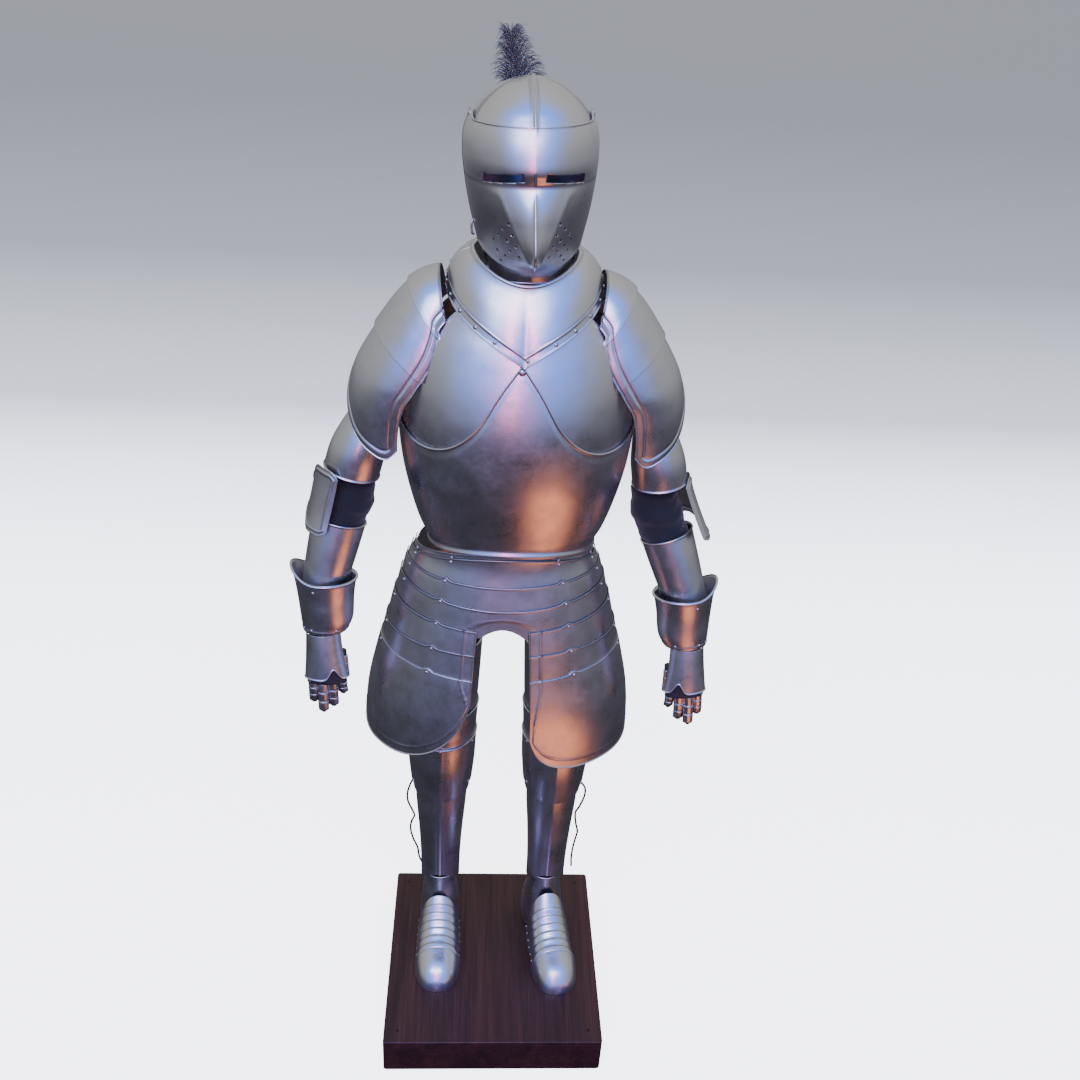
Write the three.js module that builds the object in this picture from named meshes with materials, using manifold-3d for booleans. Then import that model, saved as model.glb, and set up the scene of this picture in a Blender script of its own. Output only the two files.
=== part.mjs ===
// A suit of plate armour for display, standing by itself on a square wooden plinth.
// Millimetres, +Z up. The figure faces -Y, its left side is +X, and the origin is the centre of the
// plinth's underside. Every plate is a steel wall between an outer and an inner skin, laid on a form
// whose sections come from the tables below. Angles run round a form from its front (0) to the
// wearer's left (90) and its back (180).
import * as THREE from "three";
import { mergeVertices } from "three/addons/utils/BufferGeometryUtils.js";
import Module from "manifold-3d";

const wasm = await Module();
wasm.setup();

// ---- driving dimensions -------------------------------------------------------------------------
const WALL = 1.5; // steel sheet
const LAP = 2.6; // how far a lame stands off the one that it covers
const GAP = 0.4; // clearance between pieces that touch
const PLINTH = { side: 450, height: 88, corner: 5, edge: 2 };
const BODY_Y = 85; // the figure stands towards the back of the plinth
const SHOULDER = { x: 219, y: 95, z: 1480 };
const UPPER_ARM = 318; // shoulder to elbow
const LEG_Y = 100;
const HEAD = { x: 3, y: 75, z: 1745, turn: 1.5, tilt: -2, pivotY: 76, pivotZ: 1832, ear: 99 };
const PLUME_Y = 196.4;
const LACE = 2.2;
const STEEL = { color: 0x9aa4ae, roughness: 0.34, metalness: 1 };
const DARK_STEEL = { color: 0x70767d, roughness: 0.4, metalness: 1 };
const CLOTH = { color: 0x15171f, roughness: 0.95, metalness: 0 };
const LEATHER = { color: 0x17171a, roughness: 0.6, metalness: 0 };
const FEATHER = { color: 0x20262d, roughness: 0.9, metalness: 0 };
const WOOD = { color: 0x3a2022, roughness: 0.5, metalness: 0 };

const SIDES = [
  {
    name: "right", sign: -1, lean: 14.5, forearm: 13.5, hand: 0, reach: 0, wing: 46, flare: 4,
    legX: -121, toe: 0, step: 0, tasset: { bottom: 688, inner: 230, corner: 2.5 },
  },
  {
    name: "left", sign: 1, lean: 9, forearm: 20, hand: 5, reach: 16, wing: 82, flare: 20,
    legX: 112, toe: 8, step: -9, tasset: { bottom: 676, inner: 200, corner: 4 },
  },
];

// ---- section tables -----------------------------------------------------------------------------
// Each row is one section: at is its height, or its number in order, and the rest are its sizes.
const table = (columns, rows) =>
  rows.map((row) => Object.fromEntries(columns.map((c, i) => [c, row[i]])));

const TORSO = table(["at", "half", "front", "back"], [
  [1080, 152, 113, 100],
  [1110, 147, 110, 96],
  [1150, 165, 118, 99],
  [1200, 180, 130, 104],
  [1260, 193, 142, 111],
  [1320, 200, 147, 117],
  [1380, 201, 146, 121],
  [1440, 196, 136, 121],
  [1500, 178, 118, 113],
  [1550, 140, 98, 99],
  [1600, 96, 80, 84],
]);
const BREAST_TOP = table(["at", "z"], [
  [0, 1530],
  [25, 1540],
  [37, 1548],
  [43, 1500],
  [50, 1446],
  [58, 1420],
  [70, 1398],
  [97, 1386],
]);
const BACK_TOP = table(["at", "z"], [
  [82, 1386],
  [104, 1396],
  [116, 1450],
  [126, 1530],
  [142, 1560],
  [180, 1556],
]);
const PLACKART_TOP = table(["at", "z"], [
  [0, 1486],
  [9, 1442],
  [19, 1383],
  [30, 1347],
  [42, 1331],
  [56, 1331],
  [76, 1347],
  [97, 1364],
]);
const SKIRT = table(["at", "half", "front", "back"], [
  [580, 238, 158, 120],
  [650, 256, 166, 130],
  [720, 258, 168, 136],
  [790, 251, 165, 138],
  [860, 236, 157, 136],
  [930, 218, 146, 130],
  [1000, 199, 133, 120],
  [1060, 181, 120, 108],
  [1100, 163, 112, 102],
  [1140, 152, 110, 98],
]);
const LAME_LINES = table(["front", "side"], [
  [1128, 1103],
  [1120, 1092],
  [1068, 1073],
  [1025, 1042],
  [983, 998],
  [938, 940],
  [886, 900],
]);
const CULET_LINES = { back: [1116, 1000], side: [1106, 985] };
const GORGET = table(["at", "half", "front", "back", "side", "frontZ", "backZ", "vee"], [
  [0, 82, 89, 82, 1630, 1599, 1644, 0],
  [1, 99, 100, 99, 1626, 1582, 1636, 0.2],
  [2, 114, 114, 114, 1613, 1552, 1612, 0.6],
  [3, 123, 126, 122, 1597, 1516, 1582, 0.9],
  [4, 128, 136, 128, 1580, 1480, 1550, 1],
]);
const HELMET = table(["at", "half", "front", "back"], [
  [1590, 70, 68, 70],
  [1620, 74, 78, 78],
  [1660, 83, 92, 92],
  [1700, 92, 102, 102],
  [1745, 99, 110, 110],
  [1785, 102, 113, 114],
  [1820, 98, 106, 110],
  [1848, 81, 90, 95],
  [1868, 59, 67, 72],
  [1881, 36, 42, 46],
  [1888, 9, 12, 13],
]);
const BEAK = table(["at", "reach", "keel"], [
  [1590, 0, 2],
  [1622, 12, 2.2],
  [1648, 52, 2.4],
  [1700, 31, 1.7],
  [1744, 4, 1.2],
  [1753, 0, 1],
  [1768, 6, 1],
  [1790, 5, 1],
  [1840, 0, 1],
]);
const PLUME = table(["at", "x", "half", "front", "back"], [
  [1786, 0, 5, 5, 5],
  [1812, -6, 32, 9, 11],
  [1848, -11, 52, 12, 15],
  [1880, -18, 38, 12, 14],
  [1910, -25, 26, 10, 11],
  [1936, -28, 15, 7, 8],
  [1952, -28, 5, 4, 4],
]);
const PAULDRON = table(["at", "x", "z", "half", "rise", "swing"], [
  [0, 108, 1602, 58, 52, 6],
  [1, 140, 1594, 72, 62, 8],
  [2, 172, 1577, 78, 72, 12],
  [3, 200, 1547, 83, 84, 16],
  [4, 226, 1508, 87, 88, 16],
  [5, 250, 1468, 88, 87, 12],
  [6, 268, 1430, 86, 83, 8],
  [7, 279, 1385, 82, 80, 2],
  [8, 283, 1335, 78, 77, 0],
  [9, 283, 1285, 74, 76, 0],
]);
const PAULDRON_HEM = table(["at", "section"], [
  [-97, 8.6],
  [-82, 8.95],
  [-62, 8.75],
  [-42, 8.35],
  [-20, 7.6],
  [0, 6.8],
  [30, 6.4],
  [60, 6.9],
  [97, 7.4],
]);
const UPPER_CANNON = table(["at", "x", "half", "front", "back"], [
  [-260, 0, 49, 50, 48],
  [-215, -1, 48, 52, 50],
  [-180, -3, 42, 48, 46],
  [-140, -6, 32, 38, 38],
  [-105, -8, 27, 34, 34],
]);
const SLEEVE = table(["at", "x", "half", "front", "back"], [
  [-64, 0, 38, 39, 39],
  [-20, -4, 43, 43, 44],
  [10, -6, 45, 45, 46],
  [40, -4, 44, 42, 42],
  [58, 0, 41, 38, 36],
  [76, 0, 38, 36, 32],
]);
const COUTER = table(["at", "half", "front", "back"], [
  [-80, 55, 54, 54],
  [-30, 55, 55, 62],
  [0, 56, 58, 66],
  [30, 58, 62, 64],
  [70, 63, 68, 62],
]);
const LOWER_CANNON = table(["at", "half", "front", "back"], [
  [-205, 37, 36, 36],
  [-150, 41, 41, 41],
  [-90, 45, 46, 45],
  [-30, 48, 49, 49],
]);
const CUFF = table(["at", "x", "half", "front", "back"], [
  [-116, 6, 33, 29, 27],
  [-104, 3, 40, 35, 33],
  [-80, -1, 47, 41, 40],
  [-35, 0, 51, 48, 48],
  [0, 0, 56, 56, 55],
  [36, 0, 64, 64, 62],
]);
const HAND = table(["at", "x", "half", "front", "back"], [
  [-215, 2, 40, 22, 20],
  [-180, 4, 35, 24, 21],
  [-140, 6, 31, 25, 22],
  [-104, 7, 29, 25, 23],
]);
const THIGH = table(["at", "half", "front", "back"], [
  [640, 66, 70, 60],
  [720, 72, 76, 68],
  [800, 76, 82, 76],
  [900, 80, 88, 82],
]);
const KNEE = table(["at", "half", "front", "back"], [
  [460, 57, 62, 50],
  [520, 63, 70, 52],
  [580, 68, 78, 52],
  [640, 70, 79, 54],
  [740, 73, 79, 66],
]);
const GREAVE = table(["at", "half", "front", "back"], [
  [215, 43, 47, 42],
  [240, 42, 43, 40],
  [300, 43, 45, 47],
  [380, 47, 52, 60],
  [450, 52, 57, 66],
  [510, 55, 58, 60],
]);
const ANKLE = table(["at", "half", "front", "back"], [
  [90, 45, 46, 92],
  [130, 44, 46, 86],
  [176, 40, 46, 54],
  [216, 36, 39, 36],
  [250, 35, 37, 33],
]);
const FOOT = table(["at", "half", "height"], [
  [-204, 4, 8],
  [-198, 24, 26],
  [-182, 38, 44],
  [-148, 46, 56],
  [-110, 46, 68],
  [-80, 46, 88],
  [-50, 45, 118],
  [-36, 44, 132],
]);
// The laces' routes down the outer side of each greave: out from the leg's centre, then Y and Z.
const LACES = {
  right: [
    [61, 6, 494], [66, 10, 478], [72, 12, 452], [71, 10, 430], [60, 6, 404], [57, 8, 390],
    [64, 12, 368], [66, 12, 346], [60, 8, 322], [50, 0, 302], [45, -24, 300], [34, -38, 288],
    [22, -46, 272],
  ],
  left: [
    [61, 6, 494], [72, 10, 476], [74, 12, 450], [64, 8, 420], [57, 8, 404], [60, 10, 372],
    [66, 12, 344], [63, 12, 322], [60, 16, 290], [59, 20, 256], [61, 22, 226],
  ],
};

// ---- forms --------------------------------------------------------------------------------------
const rad = THREE.MathUtils.degToRad;
const mix = THREE.MathUtils.lerp;
const smooth = THREE.MathUtils.smoothstep;

// A smooth curve through one column of a table, by cubic Hermite pieces.
function along(rows, column, at) {
  const last = rows.length - 1;
  let i = 0;
  while (i < last - 1 && at > rows[i + 1].at) i++;
  const slope = (k) => {
    const [a, b] = [rows[Math.max(k - 1, 0)], rows[Math.min(k + 1, last)]];
    return (b[column] - a[column]) / (b.at - a.at);
  };
  const [a, b] = [rows[i], rows[i + 1]];
  const span = b.at - a.at;
  const t = THREE.MathUtils.clamp((at - a.at) / span, 0, 1);
  const [t2, t3] = [t * t, t * t * t];
  return (
    (2 * t3 - 3 * t2 + 1) * a[column] +
    (t3 - 2 * t2 + t) * span * slope(i) +
    (3 * t2 - 2 * t3) * b[column] +
    (t3 - t2) * span * slope(i + 1)
  );
}

// Level oval sections, one above the other: an angle, then a height. sign mirrors a column of offsets.
function ringForm(rows, x = 0, y = 0, sign = 1) {
  return (deg, z) => {
    const [s, c] = [Math.sin(rad(deg)), Math.cos(rad(deg))];
    const depth = along(rows, c > 0 ? "front" : "back", z);
    const shift = "x" in rows[0] ? sign * along(rows, "x", z) : 0;
    return new THREE.Vector3(x + shift + along(rows, "half", z) * s, y - depth * c, z);
  };
}

const torso = ringForm(TORSO, 0, BODY_Y);
const skirt = ringForm(SKIRT, -12, BODY_Y);

// A collar whose rings dip at the front, from a round neck to a pointed lower border.
function gorget(deg, at) {
  const around = Math.min(Math.abs(((deg + 180) % 360) - 180), 90);
  const [s, c] = [Math.sin(rad(deg)), Math.cos(rad(deg))];
  const row = (column) => along(GORGET, column, at);
  const pointed = 1 - (around / 90) ** 0.85;
  const dip = c > 0 ? mix(c * c, pointed, row("vee")) : c * c;
  return new THREE.Vector3(
    HEAD.x + row("half") * s,
    BODY_Y + 3 - row(c > 0 ? "front" : "back") * c,
    mix(row("side"), row(c > 0 ? "frontZ" : "backZ"), dip),
  );
}

// The helmet, upright: ovals, a keeled comb over the crown and a keeled beak drawn out of the face.
function helmet(deg, z) {
  const point = ringForm(HELMET, 0, HEAD.y)(deg, z);
  const [s, c] = [Math.sin(rad(deg)), Math.cos(rad(deg))];
  const sharp = (power) => Math.max(1 - Math.abs(s), 0) ** power;
  if (c > 0) point.y -= Math.max(along(BEAK, "reach", z), 0) * sharp(along(BEAK, "keel", z));
  return point;
}

// The visor's own form: the helmet's, with a flat ear at each temple that lets it turn.
function visorForm(deg, z) {
  const point = helmet(deg, z);
  const r = Math.hypot(point.y - HEAD.pivotY, point.z - HEAD.pivotZ);
  const flat = 1 - smooth(r, 12, 44);
  const side = Math.abs(point.x);
  point.x = Math.sign(point.x) * Math.max(side, mix(side, HEAD.ear, flat));
  return point;
}

// A shoulder: arches from front to back across a crest that runs from the neck down the arm.
function pauldronForm(sign) {
  const crest = (at) =>
    new THREE.Vector2(along(PAULDRON, "x", at), along(PAULDRON, "z", at));
  return (deg, at) => {
    const here = crest(at);
    const down = crest(at + 0.01).sub(crest(at - 0.01)).normalize();
    const [s, c] = [Math.sin(rad(deg)), Math.cos(rad(deg))];
    const drop = along(PAULDRON, "rise", at) * (1 - c);
    const swing = along(PAULDRON, "swing", at) * (1 - c);
    const x = here.x + down.y * drop + down.x * swing;
    const z = here.y - down.x * drop + down.y * swing;
    return new THREE.Vector3(sign * x, SHOULDER.y + along(PAULDRON, "half", at) * s, z);
  };
}

// A foot: arches over the sole, from the toe back to the ankle.
function foot(deg, at) {
  const [s, c] = [Math.sin(rad(deg)), Math.cos(rad(deg))];
  const full = (t) => Math.sign(t) * Math.abs(t) ** 0.85;
  const [half, height] = [along(FOOT, "half", at), along(FOOT, "height", at)];
  return new THREE.Vector3(half * full(s), at, 1 + height * full(c));
}

// ---- solids -------------------------------------------------------------------------------------
const value = (edge, u) => (typeof edge === "function" ? edge(u) : edge);
const even = (t) => t;

// A wall on a form. across is its span of angles, and from and to are its two edges, each a number or
// a function of the angle. out is how far its outer skin stands off the form at each edge. A ring with
// a cap is closed at its far edge, and ease spaces the rows.
function plate(form, { across, from, to, cols, rows, out = [0, 0], wall = WALL, cap, ease = even }) {
  const [first, last] = across;
  const ring = last - first >= 360;
  const wide = ring ? cols : cols + 1;
  const [outer, inner] = [[], []];
  for (let j = 0; j <= rows; j++)
    for (let i = 0; i < wide; i++) {
      const u = mix(first, last, i / cols);
      const v = mix(value(from, u), value(to, u), ease(j / rows));
      const point = form(u, v);
      const du = form(u + 0.5, v).sub(form(u - 0.5, v));
      const reach = (value(to, u) - value(from, u)) * 0.02;
      const dv = form(u, v + reach).sub(form(u, v - reach));
      const normal = du.cross(dv).normalize();
      const lift = mix(out[0], out[1], j / rows);
      outer.push(point.clone().addScaledVector(normal, lift));
      inner.push(point.clone().addScaledVector(normal, lift - wall));
    }
  const points = [...outer, ...inner];
  const under = outer.length;
  const index = [];
  const quad = (a, b, c, d) => index.push(a, b, c, a, c, d);
  const id = (i, j) => j * wide + (i % wide);
  for (let j = 0; j < rows; j++)
    for (let i = 0; i < cols; i++) {
      const [a, b, c, d] = [id(i, j), id(i + 1, j), id(i + 1, j + 1), id(i, j + 1)];
      quad(a, b, c, d);
      quad(under + a, under + d, under + c, under + b);
    }
  for (let i = 0; i < cols; i++)
    quad(id(i + 1, 0), id(i, 0), under + id(i, 0), under + id(i + 1, 0));
  if (cap) {
    const tops = [outer, inner].map((skin) => {
      const rim = skin.slice(rows * wide);
      return rim.reduce((sum, p) => sum.add(p), new THREE.Vector3()).divideScalar(rim.length);
    });
    points.push(...tops);
    for (let i = 0; i < cols; i++) {
      index.push(id(i, rows), id(i + 1, rows), 2 * under);
      index.push(under + id(i + 1, rows), under + id(i, rows), 2 * under + 1);
    }
  } else
    for (let i = 0; i < cols; i++)
      quad(id(i, rows), id(i + 1, rows), under + id(i + 1, rows), under + id(i, rows));
  if (!ring)
    for (let j = 0; j < rows; j++) {
      quad(id(0, j), id(0, j + 1), under + id(0, j + 1), under + id(0, j));
      quad(id(cols, j + 1), id(cols, j), under + id(cols, j), under + id(cols, j + 1));
    }
  return shape(points, index);
}

// A solid that fills a ring form between two heights.
function filled(form, { from, to, cols, rows }) {
  const points = [];
  for (let j = 0; j <= rows; j++)
    for (let i = 0; i < cols; i++) points.push(form((360 * i) / cols, mix(from, to, j / rows)));
  const [low, high] = [points.length, points.length + 1];
  points.push(form(90, from).lerp(form(270, from), 0.5), form(90, to).lerp(form(270, to), 0.5));
  const index = [];
  const id = (i, j) => j * cols + (i % cols);
  for (let i = 0; i < cols; i++) {
    for (let j = 0; j < rows; j++)
      index.push(id(i, j), id(i + 1, j), id(i + 1, j + 1), id(i, j), id(i + 1, j + 1), id(i, j + 1));
    index.push(id(i + 1, 0), id(i, 0), low, id(i, rows), id(i + 1, rows), high);
  }
  return shape(points, index);
}

function shape(points, index) {
  const geometry = new THREE.BufferGeometry();
  geometry.setFromPoints(points);
  geometry.setIndex(index);
  geometry.computeVertexNormals();
  return geometry;
}

// Joins or cuts geometries as solids: operation is add or subtract.
function combine(operation, ...geometries) {
  const solids = geometries.map((geometry) => {
    const bare = new THREE.BufferGeometry().setAttribute("position", geometry.attributes.position);
    bare.setIndex(geometry.index);
    const merged = mergeVertices(bare, 1e-4);
    return new wasm.Manifold(new wasm.Mesh({
      numProp: 3,
      vertProperties: merged.attributes.position.array,
      triVerts: new Uint32Array(merged.index.array),
    }));
  });
  const mesh = solids.reduce((a, b) => a[operation](b)).getMesh();
  const geometry = new THREE.BufferGeometry();
  geometry.setAttribute("position", new THREE.BufferAttribute(mesh.vertProperties, 3));
  geometry.setIndex(new THREE.BufferAttribute(mesh.triVerts, 1));
  geometry.computeVertexNormals();
  return geometry;
}

const root = new THREE.Group();
function add(name, geometry, look, parent = root) {
  const mesh = new THREE.Mesh(geometry, new THREE.MeshStandardMaterial(look));
  mesh.name = name;
  parent.add(mesh);
  return mesh;
}

// ---- plinth -------------------------------------------------------------------------------------
function plinth() {
  const { side, height, corner, edge } = PLINTH;
  const [h, r] = [side / 2 - edge, corner];
  const outline = new THREE.Shape();
  outline.moveTo(-h + r, -h);
  outline.absarc(h - r, -h + r, r, -Math.PI / 2, 0);
  outline.absarc(h - r, h - r, r, 0, Math.PI / 2);
  outline.absarc(-h + r, h - r, r, Math.PI / 2, Math.PI);
  outline.absarc(-h + r, -h + r, r, Math.PI, 1.5 * Math.PI);
  const block = new THREE.ExtrudeGeometry(outline, {
    depth: height - 2 * edge,
    bevelSize: edge,
    bevelThickness: edge,
    bevelSegments: 1,
    curveSegments: 3,
  });
  block.translate(0, 0, edge);
  add("plinth", block, WOOD);
}

// ---- torso --------------------------------------------------------------------------------------
const mirrored = (rows) => (deg) => along(rows, "z", Math.abs(deg));
const breastBottom = (deg) => 1110 + 24 * Math.max(Math.cos(rad(deg)), 0) ** 2;

function torsoPlates() {
  const edge = mirrored(PLACKART_TOP);
  add("breastplate", plate(torso, {
    across: [-96, 96], from: (deg) => edge(deg) - 20, to: mirrored(BREAST_TOP),
    cols: 24, rows: 3, out: [-2 * LAP, -2 * LAP],
  }), STEEL);
  add("plackart", plate(torso, {
    across: [-96, 96], from: breastBottom, to: edge, cols: 24, rows: 5,
  }), STEEL);
  add("backplate", plate(torso, {
    across: [88, 272], from: 1124, to: (deg) => along(BACK_TOP, "z", 180 - Math.abs(180 - deg)),
    cols: 14, rows: 5, out: [-3.4 * LAP, -3.4 * LAP],
  }), STEEL);
}

// ---- skirt of lames -----------------------------------------------------------------------------
const lineAt = (row, deg) => mix(row.side, row.front, Math.max(Math.cos(rad(deg)), 0) ** 2);
const UNDERLAP = 12; // how far a lame runs under its neighbour
const ARCH = { half: 13, top: 990, spring: 966 }; // the opening between the tassets
const TASSET = { middle: 56, half: 44.2, outer: 150, corner: 3.5 };

// A lame's lower edge, lifted into a round arch at the front of the last one.
function fauldHem(deg, i) {
  const hem = lineAt(LAME_LINES[i + 1], deg) - UNDERLAP;
  const t = Math.abs(deg) / ARCH.half;
  return i < 3 || t > 1 ? hem : Math.max(hem, mix(ARCH.top, ARCH.spring, t * t));
}

// The big plate's hem, round at both corners.
function tassetHem(deg, { bottom, inner, corner }) {
  const t = (Math.abs(deg) - TASSET.middle) / TASSET.half;
  const k = Math.min(Math.abs(t), 1);
  const [rise, power] = t < 0 ? [inner, corner] : [TASSET.outer, TASSET.corner];
  return bottom + rise * (1 - (1 - k ** power) ** (1 / power));
}

function skirtPlates() {
  for (let i = 0; i < 4; i++)
    add("fauld_lame_" + (i + 1), plate(skirt, {
      across: [-98, 98], from: (deg) => fauldHem(deg, i), to: (deg) => lineAt(LAME_LINES[i], deg),
      cols: 24, rows: 2, out: [-LAP - 1, i ? 0 : -LAP],
    }), STEEL);
  for (const { name, sign, tasset } of SIDES) {
    const across = sign > 0 ? [13, 100] : [-100, -13];
    for (let i = 4; i < 6; i++)
      add("tasset_lame_" + (i - 3) + "_" + name, plate(skirt, {
        across, from: (deg) => lineAt(LAME_LINES[i + 1], deg) - UNDERLAP,
        to: (deg) => lineAt(LAME_LINES[i], deg), cols: 12, rows: 1, out: [-LAP, 0],
      }), STEEL);
    add("tasset_" + name, plate(skirt, {
      across, from: (deg) => tassetHem(deg, tasset), to: (deg) => lineAt(LAME_LINES[6], deg),
      cols: 14, rows: 4,
    }), STEEL);
  }
  const { back, side } = CULET_LINES;
  const hem = (i) => (deg) => mix(side[i], back[i], Math.cos(rad(deg)) ** 2);
  add("culet", plate(skirt, {
    across: [94, 266], from: hem(1), to: hem(0), cols: 14, rows: 2, out: [-2.4 * LAP, -2.4 * LAP],
  }), STEEL);
}

// ---- gorget -------------------------------------------------------------------------------------
function gorgetPlates() {
  add("gorget_front", plate(gorget, { across: [-88, 88], from: 4, to: 0, cols: 20, rows: 4 }), STEEL);
  add("gorget_back", plate(gorget, { across: [89, 271], from: 3.6, to: 0, cols: 16, rows: 3 }), STEEL);
}

// ---- helmet -------------------------------------------------------------------------------------
const VISOR = { top: 1832, bottom: 1624, half: 92, slit: { inner: 16, outer: 74, z: 1762, height: 12 } };
const SLIT_DROOP = 6;

function helmetPlates() {
  const head = new THREE.Group();
  head.position.set(HEAD.x, HEAD.y, HEAD.z);
  head.rotation.set(0, rad(HEAD.tilt), rad(HEAD.turn));
  const local = new THREE.Group();
  local.position.set(0, -HEAD.y, -HEAD.z);
  head.add(local);
  root.add(head);
  const level = (low, high, first, last) => (deg) =>
    mix(low, high, smooth(Math.min(deg, 360 - deg), first, last));
  add("helmet_skull", plate(helmet, {
    across: [0, 360], from: level(1812, 1606, 66, 84), to: 1887.5, cols: 24, rows: 7,
    out: [-LAP, -LAP], cap: true, ease: (t) => Math.sin((t * Math.PI) / 2),
  }), STEEL, local);
  add("bevor", plate(helmet, {
    across: [-94, 94], from: 1594, to: 1640, cols: 20, rows: 2, out: [-2.7 * LAP, -2.7 * LAP],
  }), STEEL, local);
  const shell = plate(visorForm, {
    across: [-VISOR.half, VISOR.half],
    from: (deg) => VISOR.bottom + 24 * smooth(Math.abs(deg), 20, 90),
    to: (deg) => VISOR.top + 10 * smooth(Math.abs(deg), 66, 84),
    cols: 20, rows: 9,
  });
  const { inner, outer, z, height } = VISOR.slit;
  const slits = [-1, 1].map((side) => {
    const slot = new THREE.BoxGeometry(outer - inner, 140, height);
    slot.rotateY(rad(side * SLIT_DROOP));
    slot.translate((side * (inner + outer)) / 2, HEAD.y - 80, z);
    return slot;
  });
  const pivots = [-1, 1].map((side) => {
    const rivet = new THREE.CylinderGeometry(5, 7, 8, 12);
    rivet.rotateZ((-side * Math.PI) / 2);
    return rivet.translate(side * HEAD.ear, HEAD.pivotY, HEAD.pivotZ);
  });
  const cut = combine("subtract", shell, ...slits);
  add("visor", combine("add", cut, ...pivots), STEEL, local);
  const socket = new THREE.LatheGeometry([[6, 0], [9, 0], [9, 46], [6, 46], [6, 0]].map(([r, z]) => new THREE.Vector2(r, z)), 12);
  socket.rotateX(Math.PI / 2);
  add("plume_socket", socket, DARK_STEEL, local).position.set(0, PLUME_Y, 1738);
  add("plume", filled(ringForm(PLUME, 0, PLUME_Y), { from: 1786, to: 1952, cols: 12, rows: 9 }), FEATHER, local);
}

// ---- shoulders ----------------------------------------------------------------------------------
const UNDER = LAP + 2;
const PAULDRON_LAMES = [
  { top: 0.78, hem: 2.3 },
  { top: 2, hem: 4.3 },
  { top: 4, hem: (deg) => along(PAULDRON_HEM, "section", deg) },
];

function pauldron({ name, sign }) {
  const form = pauldronForm(sign);
  PAULDRON_LAMES.forEach(({ top, hem }, i) => {
    add("pauldron_lame_" + (i + 1) + "_" + name, plate(form, {
      across: [-96, 96], from: sign > 0 ? top : hem, to: sign > 0 ? hem : top,
      cols: 14, rows: i < 2 ? 2 : 5, out: sign > 0 ? [0, -UNDER] : [-UNDER, 0],
    }), STEEL);
  });
}

// ---- arms ---------------------------------------------------------------------------------------
function arm({ name, sign, lean, forearm, hand, reach, wing, flare }) {
  const joint = (parent, z, tilt, bend) => {
    const group = new THREE.Group();
    group.position.z = z;
    group.rotation.set(rad(-bend), rad(-sign * tilt), 0);
    parent.add(group);
    return group;
  };
  const shoulder = new THREE.Group();
  shoulder.position.set(sign * SHOULDER.x, SHOULDER.y, SHOULDER.z);
  root.add(shoulder);
  const upper = joint(shoulder, 0, lean, 2);
  const fore = joint(upper, -UPPER_ARM - reach / 2, forearm - lean, 8);
  const wrist = joint(fore, -150 - reach / 2, hand - forearm, 0);
  const tube = (rows, from, to, more) =>
    plate(ringForm(rows, 0, 0, sign), { across: [0, 360], cols: 14, rows: 2, from, to, ...more });
  add("rerebrace_" + name, tube(UPPER_CANNON, -257, -110), STEEL, upper);
  add("elbow_sleeve_" + name, tube(SLEEVE, -60, 70, { wall: 2, rows: 3 }), CLOTH, fore);
  const toWing = (deg) => Math.abs(sign * deg - wing);
  add("couter_" + name, plate(ringForm(COUTER), {
    across: sign > 0 ? [wing - 30, wing + 100] : [-wing - 100, -wing + 30],
    from: (deg) => mix(-60, -26, smooth(toWing(deg), 12, 60)),
    to: (deg) => mix(64, 30, smooth(toWing(deg), 12, 60)),
    cols: 12, rows: 2, out: [flare, flare / 3],
  }), STEEL, fore);
  add("vambrace_" + name, tube(LOWER_CANNON, -196, -32), STEEL, fore);
  const rim = (deg) => 2 + 26 * Math.max(Math.cos(rad(deg - sign * 95)), 0) ** 3;
  add("gauntlet_cuff_" + name, tube(CUFF, -104, rim, { rows: 3 }), STEEL, wrist);
  add("hand_plate_" + name, plate(ringForm(HAND, 0, 0, sign), {
    across: [-84, 84], from: -200, to: -110, cols: 12, rows: 2, out: [2.6, 2.6],
  }), STEEL, wrist);
  add("glove_" + name, glove(sign), LEATHER, wrist);
}

// A hollow palm that is open at the wrist, with four fingers and a thumb.
const FINGERS = table(["x", "y", "z", "length", "radius", "curl", "splay"], [
  [-27, -4, -202, 76, 8, 14, -1],
  [-10, -6, -204, 92, 8.5, 8, 0],
  [8, -6, -203, 88, 8.5, 16, 0],
  [24, -2, -198, 70, 8, 24, 2],
  [25, 13, -158, 78, 8.5, 12, 3],
]);

function glove(sign) {
  const skin = (inset) => {
    const form = ringForm(HAND, 0, 0, sign);
    return (deg, z) => {
      const point = form(deg, z);
      const [s, c] = [Math.sin(rad(deg)), Math.cos(rad(deg))];
      return point.add(new THREE.Vector3(-inset * s, inset * c, 0));
    };
  };
  const palm = filled(skin(2.5), { from: -213, to: -112, cols: 12, rows: 3 });
  const hollow = filled(skin(4.5), { from: -209, to: -100, cols: 12, rows: 3 });
  const fingers = FINGERS.map(({ x, y, z, length, radius, curl, splay }) => {
    const finger = new THREE.CapsuleGeometry(radius, length - 2 * radius, 2, 7);
    finger.rotateX(Math.PI / 2);
    finger.translate(0, 0, -length / 2 + radius);
    finger.rotateX(rad(curl));
    finger.rotateY(rad(sign * splay));
    return finger.translate(-sign * x, y, z);
  });
  return combine("subtract", combine("add", palm, ...fingers), hollow);
}

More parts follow.
